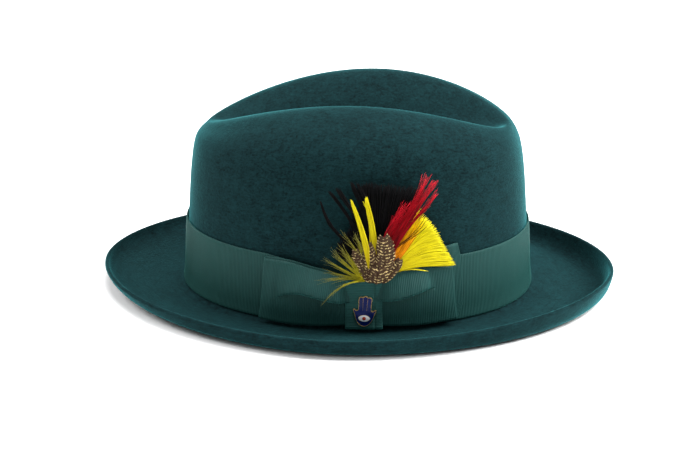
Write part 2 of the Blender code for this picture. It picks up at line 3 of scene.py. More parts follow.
import bpy
import numpy as np
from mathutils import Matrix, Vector


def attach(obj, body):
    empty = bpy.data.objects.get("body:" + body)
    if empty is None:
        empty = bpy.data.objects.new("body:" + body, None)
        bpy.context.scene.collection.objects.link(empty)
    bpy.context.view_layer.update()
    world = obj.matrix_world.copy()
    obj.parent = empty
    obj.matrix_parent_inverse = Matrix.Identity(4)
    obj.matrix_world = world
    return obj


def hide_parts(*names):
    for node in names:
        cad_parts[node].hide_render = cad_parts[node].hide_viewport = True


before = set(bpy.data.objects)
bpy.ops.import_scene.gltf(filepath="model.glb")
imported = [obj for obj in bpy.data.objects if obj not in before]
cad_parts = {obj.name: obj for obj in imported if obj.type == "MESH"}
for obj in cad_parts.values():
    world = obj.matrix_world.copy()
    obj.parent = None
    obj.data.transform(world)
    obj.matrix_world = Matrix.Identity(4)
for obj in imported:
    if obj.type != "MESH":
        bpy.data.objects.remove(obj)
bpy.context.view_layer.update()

# The view and the light. A long lens looks a little down on the side with the bow. The hat stands on a
# pale floor under one broad lamp, with a soft lamp high up at each side and a small one in front.
VIEW_AZIMUTH = math.radians(9.0)
VIEW_ELEVATION = math.radians(18.14)
VIEW_DISTANCE = 1.5
VIEW_OVER = Vector((0.0, 0.0, 0.065))
VIEW_AIM = Vector((-0.0028, -0.0106, 0.0343))
VIEW_LENS = 131.07

view_back = Vector(
    (
        math.sin(VIEW_AZIMUTH) * math.cos(VIEW_ELEVATION),
        -math.cos(VIEW_AZIMUTH) * math.cos(VIEW_ELEVATION),
        math.sin(VIEW_ELEVATION),
    )
)


def placed(name, data):
    made = bpy.data.objects.new(name, data)
    bpy.context.scene.collection.objects.link(made)
    return made


camera = placed("camera", bpy.data.cameras.new("camera"))
camera.data.sensor_width = 36.0
camera.data.lens = VIEW_LENS
camera.data.clip_start = 0.05
camera.location = VIEW_OVER + view_back * VIEW_DISTANCE
camera.rotation_mode = "QUATERNION"
camera.rotation_quaternion = (VIEW_AIM - camera.location).to_track_quat("-Z", "Y")
bpy.context.scene.camera = camera

LAMP_AIM = Vector((0.0, 0.0, 0.05))
LAMPS = (
    {"name": "lamp_top", "at": (0.05, 0.25, 1.35), "width": 1.10, "height": 0.80, "watts": 21.0},
    {"name": "lamp_right", "at": (1.10, 0.15, 0.90), "width": 0.50, "height": 0.80, "watts": 34.0},
    {"name": "lamp_left", "at": (-1.10, 0.00, 0.85), "width": 0.45, "height": 0.80, "watts": 12.0},
    {"name": "lamp_front", "at": (0.45, -0.95, 1.45), "width": 0.55, "height": 0.55, "watts": 5.0},
)
for row in LAMPS:
    lamp = placed(row["name"], bpy.data.lights.new(row["name"], "AREA"))
    lamp.data.shape = "RECTANGLE"
    lamp.data.size, lamp.data.size_y = row["width"], row["height"]
    lamp.data.energy = row["watts"]
    lamp.location = row["at"]
    lamp.rotation_mode = "QUATERNION"
    lamp.rotation_quaternion = (LAMP_AIM - lamp.location).to_track_quat("-Z", "Y")


def add(tree, kind, settings=(), **sockets):
    """Adds a node. A socket's name is written with _ for a space, and takes a value or another socket."""
    made = tree.nodes.new(kind)
    for key, value in dict(settings).items():
        setattr(made, key, value)
    for name, value in sockets.items():
        put(tree, made, name.replace("_", " "), value)
    return made


def put(tree, made, name, value):
    """Sets a node's input, by name or number, to a value or to another node's socket."""
    if isinstance(value, bpy.types.NodeSocket):
        tree.links.new(value, made.inputs[name])
    else:
        made.inputs[name].default_value = value


def shader_of(name, **sockets):
    """A new material, its node tree and its Principled BSDF, with some of its sockets set."""
    made = bpy.data.materials.new(name)
    made.use_nodes = True
    shader = made.node_tree.nodes["Principled BSDF"]
    for socket, value in sockets.items():
        put(made.node_tree, shader, socket.replace("_", " "), value)
    return made, made.node_tree, shader


def ranged(tree, value, **ends):
    return add(tree, "ShaderNodeMapRange", Value=value, **ends).outputs["Result"]


def axis_of(tree, vector, axis):
    return add(tree, "ShaderNodeSeparateXYZ", Vector=vector).outputs[axis]


bpy.context.scene.view_settings.view_transform = "Standard"
ROOM_LIGHT = 0.62
ROOM_LOW = 0.34
room = bpy.data.worlds.new("room")
room.use_nodes = True
# the room is darker at the sides than above
towards = add(room.node_tree, "ShaderNodeTexCoord").outputs["Generated"]
height = axis_of(room.node_tree, towards, "Z")
share = ranged(room.node_tree, height, To_Min=ROOM_LOW)
put(room.node_tree, room.node_tree.nodes["Background"], "Color", share)
room.node_tree.nodes["Background"].inputs["Strength"].default_value = ROOM_LIGHT
bpy.context.scene.world = room

FLOOR_HALF, FLOOR_Z = 4.0, -0.0001
floor_mesh = bpy.data.meshes.new("floor")
floor_mesh.from_pydata(
    [(x * FLOOR_HALF, y * FLOOR_HALF, FLOOR_Z) for x, y in ((-1, -1), (1, -1), (1, 1), (-1, 1))],
    [],
    [(0, 1, 2, 3)],
)
floor = placed("floor", floor_mesh)
floor_paint, tree, shader = shader_of("pale_floor", Roughness=0.9)
grain = add(tree, "ShaderNodeTexNoise", Scale=3.0, Detail=3.0)
put(tree, shader, "Base Color", ranged(tree, grain.outputs["Fac"], To_Min=0.93, To_Max=0.96))
floor_mesh.materials.append(floor_paint)

# The felt body: crown and brim blocked from one hood of fur felt, about 2.5 mm thick.
# The crown is pressed into a teardrop and the brim's edge is curled up by hand and iron.
# Rings run from the edge of the brim inwards, up the crown and down into the dent.
FELT = 0.0025
CROWN_HALF_LENGTH, CROWN_HALF_WIDTH, CROWN_HEIGHT = 0.1025, 0.0840, 0.1185
BRIM_ENDS, BRIM_SIDES = 0.0474, 0.0375
LIFT_FRONT, LIFT_BACK, LIFT_SIDES = 0.0100, 0.0140, 0.0085
# share of the brim's reach, then of its lift at the sides, front and back
BRIM_RINGS = (
    (1.000, 1.00, 1.00, 1.00),
    (0.975, 0.62, 0.78, 0.62),
    (0.930, 0.26, 0.58, 0.26),
    (0.860, 0.07, 0.42, 0.07),
    (0.760, 0.00, 0.27, 0.00),
    (0.300, 0.00, 0.00, 0.00),
    (0.080, 0.06, 0.06, 0.06),
)
BRIM_FRONT, BRIM_BACK = 1.90, 1.84
# shares of the half length and half width, shift, exponents front and back, heights at side, front and back
CROWN_RINGS = (
    (1.000, 1.000, 0.000, 2.12, 2.06, 0.022, 0.022, 0.022),
    (0.974, 0.978, 0.000, 2.12, 2.06, 0.350, 0.350, 0.350),
    (0.955, 0.930, 0.000, 2.12, 2.06, 0.620, 0.600, 0.600),
    (0.932, 0.860, 0.000, 2.05, 2.15, 0.800, 0.735, 0.735),
    (0.893, 0.710, 0.030, 1.90, 2.20, 0.930, 0.775, 0.813),
    (0.852, 0.470, 0.095, 1.92, 2.00, 1.000, 0.803, 0.844),
    (0.780, 0.280, 0.100, 1.70, 2.10, 0.920, 0.800, 0.825),
    (0.600, 0.130, 0.080, 1.80, 2.00, 0.815, 0.795, 0.808),
    (0.000, 0.000, 0.060, 2.00, 2.00, 0.800, 0.800, 0.800),
)
FELT_COLUMNS = 320
FELT_ROWS = 112
EDGE_WIDTH, EDGE_ROWS, EDGE_TURNS = 0.012, 16, 8
# a faint ridge up the near wall, left where the crown was pinched on the block
RIDGE = {"u": -0.012, "spread": 0.012, "height": 0.0005, "low": 0.060, "high": 0.105, "fade": 0.012}


def oval(angles, half_length, half_width, shift, front, back):
    across, along = np.sin(angles), np.cos(angles)
    power = 2 / np.where(along < 0, front, back)
    reach = np.where(along < 0, 1 + shift, 1 - shift) * half_length
    x = half_length * shift + reach * np.sign(along) * np.abs(along) ** power
    return x, half_width * np.sign(across) * np.abs(across) ** power


def felt_rings(angles):
    in_front, ends = np.cos(angles) < 0, np.cos(angles) ** 2
    foot_front, foot_back = CROWN_RINGS[0][3:5]
    rings = []
    for reach, side, front, back in BRIM_RINGS:
        x, y = oval(
            angles,
            CROWN_HALF_LENGTH + reach * BRIM_ENDS,
            CROWN_HALF_WIDTH + reach * BRIM_SIDES,
            0.0,
            foot_front + (BRIM_FRONT - foot_front) * reach,
            foot_back + (BRIM_BACK - foot_back) * reach,
        )
        end_lift = np.where(in_front, front * LIFT_FRONT, back * LIFT_BACK)
        z = FELT + side * LIFT_SIDES + (end_lift - side * LIFT_SIDES) * ends
        rings.append(np.stack([x, y, z], -1))
    for length, width, shift, front, back, side_z, front_z, back_z in CROWN_RINGS:
        x, y = oval(angles, length * CROWN_HALF_LENGTH, width * CROWN_HALF_WIDTH, shift, front, back)
        if length == 0:
            x = np.full_like(x, shift * CROWN_HALF_LENGTH)
        z = side_z + (np.where(in_front, front_z, back_z) - side_z) * ends
        rings.append(np.stack([x, y, FELT + z * CROWN_HEIGHT], -1))
    return np.array(rings)


def stations(rings):
    steps = np.linalg.norm(np.diff(rings, axis=0), axis=2).mean(axis=1)
    return np.concatenate([[0.0], np.cumsum(steps)])


def through_rings(rings, at, wanted):
    """Points on a smooth curve through each column of rings, which never overshoots them."""
    spans = np.diff(at)[:, None, None]
    slopes = np.diff(rings, axis=0) / spans
    before, after = slopes[:-1], slopes[1:]
    near, far = 2 * spans[1:] + spans[:-1], spans[1:] + 2 * spans[:-1]
    same_way = before * after > 0
    safe_before, safe_after = np.where(same_way, before, 1.0), np.where(same_way, after, 1.0)
    middle = np.where(same_way, (near + far) / (near / safe_before + far / safe_after), 0.0)
    tangents = np.concatenate([slopes[:1], middle, slopes[-1:]])
    k = np.clip(np.searchsorted(at, wanted, side="right") - 1, 0, len(at) - 2)
    span = np.diff(at)[k][:, None, None]
    t = ((wanted - at[k]) / np.diff(at)[k])[:, None, None]
    return (
        (2 * t**3 - 3 * t**2 + 1) * rings[k]
        + (t**3 - 2 * t**2 + t) * span * tangents[k]
        + (3 * t**2 - 2 * t**3) * rings[k + 1]
        + (t**3 - t**2) * span * tangents[k + 1]
    )


# The outside of the crown's wall as a surface that trim is wrapped on: u runs along the band from the
# middle of the bow towards the back, v is the height above the floor, and w is the stand-off.
BOW_PLACE = 0.0165
BAND_FOOT, BAND_WIDTH = 0.0055, 0.0380
WALL_COLUMNS, WALL_STEPS, WALL_HEIGHTS, WALL_REACH = 300, 12, 80, 0.0010
WALL_RINGS = 4

wall_angles = np.linspace(0, 2 * math.pi, WALL_COLUMNS + 1)
wall_rings = felt_rings(wall_angles)
wall_at = stations(wall_rings)
between = [np.linspace(a, b, WALL_STEPS, endpoint=False) for a, b in zip(wall_at[:-1], wall_at[1:])]
wall_fine = through_rings(wall_rings, wall_at, np.concatenate([*between, wall_at[-1:]]))
wall_fine = wall_fine[len(BRIM_RINGS) * WALL_STEPS : (len(BRIM_RINGS) + WALL_RINGS) * WALL_STEPS + 1]
wall_heights = np.linspace(wall_fine[0, :, 2].max(), wall_fine[-1, :, 2].min(), WALL_HEIGHTS)
wall_plan = np.empty((WALL_HEIGHTS, WALL_COLUMNS + 1, 2))
for c in range(WALL_COLUMNS + 1):
    for axis in range(2):
        wall_plan[:, c, axis] = np.interp(wall_heights, wall_fine[:, c, 2], wall_fine[:, c, axis])
wall_ring = wall_plan[np.argmin(abs(wall_heights - BAND_FOOT - BAND_WIDTH / 2))]
wall_along = np.concatenate([[0.0], np.cumsum(np.linalg.norm(np.diff(wall_ring, axis=0), axis=1))])
near_side = WALL_COLUMNS // 2
bow_start = np.interp(BOW_PLACE, wall_ring[near_side:, 0], wall_along[near_side:])
BAND_LENGTH = wall_along[-1]


def on_felt(u, v):
    column = np.interp(u + bow_start, wall_along, wall_angles) / wall_angles[1]
    row = np.interp(v, wall_heights, np.arange(WALL_HEIGHTS))
    c = np.clip(column.astype(int), 0, WALL_COLUMNS - 1)
    r = np.clip(row.astype(int), 0, WALL_HEIGHTS - 2)
    s, t = (column - c)[..., None], (row - r)[..., None]
    low = wall_plan[r, c] * (1 - s) + wall_plan[r, c + 1] * s
    high = wall_plan[r + 1, c] * (1 - s) + wall_plan[r + 1, c + 1] * s
    return np.concatenate([low * (1 - t) + high * t, v[..., None]], -1)


def wrap(u, v, w):
    u, v, w = np.broadcast_arrays(*(np.asarray(a, float) for a in (u, v, w)))
    inside = np.clip(v, wall_heights[0] + WALL_REACH, wall_heights[-1] - WALL_REACH)
    along = on_felt(u + WALL_REACH, inside) - on_felt(u - WALL_REACH, inside)
    up = on_felt(u, inside + WALL_REACH) - on_felt(u, inside - WALL_REACH)
    out = np.cross(along, up)
    out /= np.linalg.norm(out, axis=-1, keepdims=True)
    return on_felt(u, v) + out * w[..., None]


def grid_normals(grid, around=False):
    """Directions that a grid of points faces, from the steps along its columns and up its rows."""
    if around:
        along = np.roll(grid, -1, 1) - np.roll(grid, 1, 1)
    else:
        along = np.gradient(grid, axis=1)
    out = np.cross(along, np.gradient(grid, axis=0))
    return out / np.maximum(np.linalg.norm(out, axis=-1, keepdims=True), 1e-12)


def grid_piece(name, grid, lay, around=False, across=False, caps=()):
    """A mesh of quads over rows and columns of points, with lay as its UV map in metres.

    around joins the last column to the first and across the last row to the first, and lay then has
    one column or row more. caps are further faces.
    """
    rows, columns = grid.shape[:2]
    r, c = np.meshgrid(
        np.arange(rows if across else rows - 1), np.arange(columns if around else columns - 1), indexing="ij"
    )
    r2, c2 = (r + 1) % rows, (c + 1) % columns
    quads = np.stack([r * columns + c, r * columns + c2, r2 * columns + c2, r2 * columns + c], -1)
    lays = np.stack([lay[r, c], lay[r, c + 1], lay[r + 1, c + 1], lay[r + 1, c]], 2).reshape(-1, 2)
    faces = quads.reshape(-1, 4).tolist()
    flat_lay = lay[:rows, :columns].reshape(-1, 2)
    extra = [corner for face in caps for corner in face]
    mesh = bpy.data.meshes.new(name)
    mesh.from_pydata(grid.reshape(-1, 3).tolist(), [], faces + [list(face) for face in caps])
    uv = mesh.uv_layers.new(name="lay")
    uv.data.foreach_set("uv", np.concatenate([lays, flat_lay[extra].reshape(-1, 2)]).astype("f").ravel())
    mesh.shade_smooth()
    return placed(name, mesh)


def finish_piece(piece, material, slot, *nodes):
    """Gives a piece its material and its place in the frame, and hides the CAD nodes that it stands for."""
    piece.data.materials.append(material)
    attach(piece, "root")
    if nodes:
        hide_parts(*nodes)


felt_angles = np.linspace(0, 2 * math.pi, FELT_COLUMNS, endpoint=False)
felt_ring_table = felt_rings(felt_angles)
felt_at = stations(felt_ring_table)
edge_rows = np.linspace(FELT / 2, EDGE_WIDTH, EDGE_ROWS, endpoint=False)
felt_wanted = np.concatenate([edge_rows, np.linspace(EDGE_WIDTH, felt_at[-1], FELT_ROWS - EDGE_ROWS)])
felt_top = through_rings(felt_ring_table, felt_at, felt_wanted)
felt_out = grid_normals(felt_top, around=True)
felt_out[-1] = (0.0, 0.0, 1.0)
felt_u = np.interp(felt_angles, wall_angles, wall_along) - bow_start
ridge_lift = (
    RIDGE["height"]
    * np.exp(-(((felt_u[None, :] - RIDGE["u"]) / RIDGE["spread"]) ** 2))
    * np.clip((felt_top[..., 2] - RIDGE["low"]) / RIDGE["fade"], 0, 1)
    * np.clip((RIDGE["high"] + RIDGE["fade"] - felt_top[..., 2]) / RIDGE["fade"], 0, 1)
)
felt_top = felt_top + felt_out * ridge_lift[..., None]
felt_under = felt_top - felt_out * FELT
# the cut edge is rubbed round
edge_turns = np.linspace(0, math.pi, EDGE_TURNS)[1:-1]
edge_middle = (felt_top[0] + felt_under[0]) / 2
edge_forward = felt_top[0] - felt_top[1]
edge_forward /= np.linalg.norm(edge_forward, axis=-1, keepdims=True)
edge = [
    edge_middle + felt_out[0] * math.cos(turn) * FELT / 2 + edge_forward * math.sin(turn) * FELT / 2
    for turn in edge_turns
]
felt_grid = np.concatenate([felt_under[::-1], np.array(edge)[::-1], felt_top])
felt_rows = np.concatenate([-felt_wanted[::-1] - FELT, np.linspace(-FELT, 0, len(edge)), felt_wanted])
felt_lay = np.stack(
    np.broadcast_arrays(np.append(felt_u, felt_u[0] + BAND_LENGTH)[None, :], felt_rows[:, None]), -1
)
felt = grid_piece("felt_hat", felt_grid, felt_lay, around=True)


def interface(group, kind, **sockets):
    """Adds named sockets to a node group. kind is INPUT or OUTPUT, each value a socket type and default."""
    for name, (socket_type, value) in sockets.items():
        made = group.interface.new_socket(
            name=name.replace("_", " "), in_out=kind, socket_type="NodeSocket" + socket_type
        )
        if value is not None:
            made.default_value = value


def blend(tree, factor, first, second):
    """The colour between two, each a colour or a socket."""
    made = add(tree, "ShaderNodeMix", {"data_type": "RGBA"}, Factor=factor)
    put(tree, made, 6, first)
    put(tree, made, 7, second)
    return made.outputs[2]


def mix(tree, factor, first, second):
    return add(tree, "ShaderNodeMix", Factor=factor, A=first, B=second).outputs["Result"]


def reckon(tree, operation, *values):
    made = add(tree, "ShaderNodeMath", {"operation": operation})
    for number, value in enumerate(values):
        put(tree, made, number, value)
    return made.outputs[0]


def noise(tree, place, scale, detail, **sockets):
    return add(tree, "ShaderNodeTexNoise", Vector=place, Scale=scale, Detail=detail, **sockets).outputs["Fac"]


def stretched(tree, place, *scale):
    return add(tree, "ShaderNodeMapping", Vector=place, Scale=scale).outputs["Vector"]


def lay_of(tree):
    return add(tree, "ShaderNodeUVMap", {"uv_map": "lay"}).outputs["UV"]


def new_group(name, **inputs):
    """A node group that puts out a colour and a height, with its input's sockets and its output node."""
    group = bpy.data.node_groups.new(name, "ShaderNodeTree")
    interface(group, "INPUT", **inputs)
    interface(group, "OUTPUT", Color=("Color", None), Height=("Float", None))
    return group, add(group, "NodeGroupInput").outputs, add(group, "NodeGroupOutput")


def dress(tree, shader, group, strength, distance, **sockets):
    """Takes a shader's colour, and its bump, from a node group."""
    node = add(tree, "ShaderNodeGroup", {"node_tree": group}, **sockets)
    bump = add(tree, "ShaderNodeBump", Strength=strength, Distance=distance, Height=node.outputs["Height"])
    put(tree, shader, "Base Color", node.outputs["Color"])
    put(tree, shader, "Normal", bump.outputs["Normal"])


# The nap: short fur fibres matted in every direction, brushed round the hat.
nap, nap_in, nap_out = new_group(
    "felt_nap", Dark=("Color", (0, 0, 0, 1)), Light=("Color", (1, 1, 1, 1)), Mottle=("Float", 0.5)
)
place = add(nap, "ShaderNodeTexCoord").outputs["Object"]
strands = noise(nap, stretched(nap, lay_of(nap), 260.0, 900.0, 1.0), 1.0, 3.0, Distortion=1.2)
fur = noise(nap, place, 750.0, 4.0, Roughness=0.65, Distortion=0.6)
clumps = noise(nap, place, 160.0, 3.0, Roughness=0.6)
clouds = noise(nap, place, 22.0, 2.0)
fine = mix(nap, 0.45, fur, strands)
broad = mix(nap, 0.4, clumps, clouds)
both = mix(nap, 0.30, fine, broad)
contrast = reckon(nap, "MULTIPLY_ADD", reckon(nap, "SUBTRACT", both, 0.5), nap_in["Mottle"], 0.5)
put(nap, nap_out, "Color", blend(nap, contrast, nap_in["Dark"], nap_in["Light"]))
put(nap, nap_out, "Height", fine)

FELT_DARK, FELT_LIGHT = (0.0010, 0.0048, 0.0056, 1.0), (0.0060, 0.0290, 0.0325, 1.0)
SHEEN_TINT = (0.120, 0.62, 0.66, 1.0)
felt_cloth, tree, shader = shader_of(
    "fur_felt",
    Roughness=0.92,
    Specular_IOR_Level=0.06,
    Sheen_Weight=0.66,
    Sheen_Roughness=0.30,
    Sheen_Tint=SHEEN_TINT,
)
dress(tree, shader, nap, 0.55, 0.0005, Dark=FELT_DARK, Light=FELT_LIGHT, Mottle=3.6)
finish_piece(felt, felt_cloth, "felt", "felt_body")

# The band: one length of grosgrain ribbon, 38 mm wide, drawn tight round the foot of the crown.
# It is woven with fine ribs across its width and has a firm edge along top and bottom.
RIB_PITCH = 0.0010
RIB_HEIGHT = 0.00008
RIB_POINTS = 4
RIBBON = 0.0007
SELVEDGE_SHARE = 0.55


def ribbon_piece(name, u, v, w, along, thickness=RIBBON, around=False):
    """Ribbon over a grid of u, v and w, with ribs at each RIB_PITCH of along, as a closed piece."""
    middle = wrap(u, v, w)
    if around:
        middle, along = middle[:, :-1], along[:-1]
    rows, columns = middle.shape[:2]
    firm = np.ones((rows, 1, 1))
    firm[0] = firm[-1] = SELVEDGE_SHARE
    rib = RIB_HEIGHT * np.cos(along / RIB_PITCH * 2 * math.pi)[None, :, None]
    half = grid_normals(middle, around) * firm * (thickness / 2 + rib)
    grid = np.concatenate([middle + half, (middle - half)[::-1]])
    steps = np.linalg.norm(np.diff(middle, axis=0), axis=2).mean(axis=1)
    across = np.concatenate([[0.0], np.cumsum(steps)])
    across = np.concatenate([across, across[::-1], across[:1]])
    last = 2 * along[-1] - along[-2]
    lay = np.stack(np.broadcast_arrays(np.append(along, last)[None, :], across[:, None]), -1)
    caps = []
    if not around:
        for r in range(rows - 1):
            back = 2 * rows - 2 - r
            for c, flip in ((0, 1), (columns - 1, -1)):
                caps.append(tuple(row * columns + c for row in (r, r + 1, back, back + 1))[::flip])
    return grid_piece(name, grid, lay, around=around, across=True, caps=caps)


# the band's upper edge is drawn down where the knot gathers it: u and share of the width
BAND_TOPS = (
    (-0.0580, 1.00), (-0.0435, 0.95), (-0.0307, 0.89), (-0.0209, 0.84), (-0.0099, 0.73), (0.0, 0.68),
    (0.0120, 0.73), (0.0198, 0.83), (0.0302, 0.88), (0.0478, 0.88), (0.0520, 1.00),
)
band_columns = int(round(BAND_LENGTH / RIB_PITCH)) * RIB_POINTS
band_along = np.linspace(0, BAND_LENGTH, band_columns + 1)
band_u = band_along - bow_start
BAND_W, BAND_CROWN = 0.00085, 0.0003
band_share = np.array([0.0, 0.02, 0.06, 0.2, 0.4, 0.6, 0.8, 0.94, 0.98, 1.0])
band_top = np.interp(band_u, *zip(*BAND_TOPS))
band_v = BAND_FOOT + BAND_WIDTH * band_share[:, None] * band_top[None, :]
band_w = BAND_W + BAND_CROWN * np.sin(band_share * math.pi) ** 0.5
band = ribbon_piece("ribbon_band", band_u[None, :], band_v, band_w[:, None], band_along, around=True)

weave, weave_in, weave_out = new_group(
    "grosgrain_weave_and_rib_shade",
    Dark=("Color", (0, 0, 0, 1)),
    Light=("Color", (1, 1, 1, 1)),
    Rib_Pitch=("Float", RIB_PITCH),
)
lay_map = lay_of(weave)
ribs = axis_of(weave, lay_map, "X")
turns = reckon(weave, "MULTIPLY", reckon(weave, "DIVIDE", ribs, weave_in["Rib Pitch"]), 2 * math.pi)
crest = reckon(weave, "COSINE", turns)
rib_share = ranged(weave, crest, From_Min=-1.0, From_Max=1.0)
thread = noise(weave, stretched(weave, lay_map, 900.0, 3200.0, 1.0), 1.0, 2.0)
cloud = noise(weave, stretched(weave, lay_map, 400.0, 90.0, 1.0), 1.0, 3.0)
soft = mix(weave, 0.5, thread, cloud)
# the rib crests are painted lighter and the troughs darker, a painted highlight and shade laid over the
# threads' own uneven tone
shade = mix(weave, 0.34, soft, rib_share)
height = mix(weave, 0.35, rib_share, thread)
put(weave, weave_out, "Color", blend(weave, shade, weave_in["Dark"], weave_in["Light"]))
put(weave, weave_out, "Height", height)

RIBBON_DARK, RIBBON_LIGHT = (0.0030, 0.0240, 0.0220, 1.0), (0.0110, 0.0640, 0.0580, 1.0)


def ribbon_cloth(name, dark=RIBBON_DARK, light=RIBBON_LIGHT):
    made, tree, shader = shader_of(
        name,
        Roughness=0.62,
        Specular_IOR_Level=0.18,
        Sheen_Weight=0.22,
        Sheen_Roughness=0.4,
        Sheen_Tint=(0.16, 0.72, 0.64, 1.0),
    )
    dress(tree, shader, weave, 0.5, 0.0002, Dark=dark, Light=light, Rib_Pitch=RIB_PITCH)
    return made


grosgrain = ribbon_cloth("grosgrain")
finish_piece(band, grosgrain, "ribbon", "hat_band")

# The ribbon's end: a short length that stands up behind the right loop, cut across at its top.
# It is tacked down by hand, and its ribs fan a little where it is pulled over.
TAIL_TOP, TAIL_FOOT = 0.0508, 0.0070
TAIL_LEFT, TAIL_W, TAIL_WIDTH = 0.0455, 0.0020, 0.0130
TAIL_DROOP, TAIL_DROOP_FROM, TAIL_RIPPLE, TAIL_RIPPLE_TURN = 0.0012, 0.75, 0.0006, 5
# height share, right edge u
TAIL_RIGHT = ((0.0, 0.0530), (0.2, 0.0574), (0.5, 0.0569), (0.8, 0.0563), (1.0, 0.0546))
tail_along = np.arange(0, TAIL_WIDTH, RIB_PITCH / RIB_POINTS)
tail_share = np.linspace(0, 1, 26)[:, None]
tail_across = np.linspace(0, 1, len(tail_along))[None, :]
tail_right = np.interp(tail_share, *zip(*TAIL_RIGHT))
tail_u = TAIL_LEFT + (tail_right - TAIL_LEFT) * tail_across
tail_v = TAIL_FOOT + (TAIL_TOP - TAIL_FOOT) * tail_share
tail_v = tail_v - TAIL_DROOP * (tail_across - TAIL_DROOP_FROM) ** 2
tail_w = TAIL_W + TAIL_RIPPLE * np.sin(tail_across * TAIL_RIPPLE_TURN) * tail_share**3
tail = ribbon_piece("ribbon_tail", tail_u, tail_v, tail_w, tail_along)
finish_piece(tail, grosgrain, "ribbon", "bow_tail")

# The bow: two flat loops of the same ribbon, each folded back under itself, pinched by the knot so
# that the upper half of the ribbon laps over the lower half in one soft pleat.
BACK_LAYER, FRONT_LAYER = 0.00295, 0.00465
TURN_COLUMNS = 12
# distance from the knot's middle, then heights of the foot, the fold and the top, depth of the pleat
LOOP_LEFT_ROWS = (
    (0.0015, 0.0070, 0.0200, 0.0335, 0.0000),
    (0.0100, 0.0066, 0.0206, 0.0340, 0.0016),
    (0.0130, 0.0062, 0.0214, 0.0350, 0.0040),
    (0.0180, 0.0057, 0.0226, 0.0366, 0.0054),
    (0.0240, 0.0051, 0.0239, 0.0381, 0.0056),
    (0.0300, 0.0047, 0.0250, 0.0392, 0.0050),
    (0.0350, 0.0045, 0.0253, 0.0403, 0.0040),
    (0.0400, 0.0044, 0.0240, 0.0412, 0.0024),
    (0.0440, 0.0045, 0.0222, 0.0417, 0.0010),
    (0.0490, 0.0048, 0.0205, 0.0418, 0.0000),
    (0.0585, 0.0053, 0.0200, 0.0418, 0.0000),
)
LOOP_RIGHT_ROWS = (
    (0.0015, 0.0070, 0.0215, 0.0335, 0.0000),
    (0.0105, 0.0064, 0.0220, 0.0342, 0.0014),
    (0.0140, 0.0062, 0.0227, 0.0356, 0.0032),
    (0.0190, 0.0060, 0.0238, 0.0378, 0.0042),
    (0.0260, 0.0057, 0.0258, 0.0396, 0.0042),
    (0.0310, 0.0057, 0.0273, 0.0401, 0.0036),
    (0.0345, 0.0058, 0.0279, 0.0400, 0.0022),
    (0.0370, 0.0060, 0.0279, 0.0397, 0.0006),
    (0.0400, 0.0062, 0.0275, 0.0392, 0.0000),
    (0.0515, 0.0068, 0.0270, 0.0388, 0.0000),
)
# how far the pleat stands out beside its table, how far the lower half follows it, how far it tucks in
LOOP_DEPTH, LOOP_LEAN, PLEAT_TUCK, PLEAT_FROM = 1.3, 0.06, 0.0022, 0.002
LOOP_PUFF, LOOP_BACK_LIFT, LOOP_BACK_RISE = 0.0012, 0.0007, 0.010
KNOT_SIDE, KNOT_CLEAR, END_CLEAR = 0.0103, 0.004, 0.006
GATHER_FROM, GATHER_FADE, GATHER_HEIGHT, GATHER_TURN = 0.010, 0.007, 0.00035, 9.0
LOWER_ROWS, UPPER_ROWS, FLAT_STEP, LIP_SHARE = 14, 15, 0.0003, 0.02


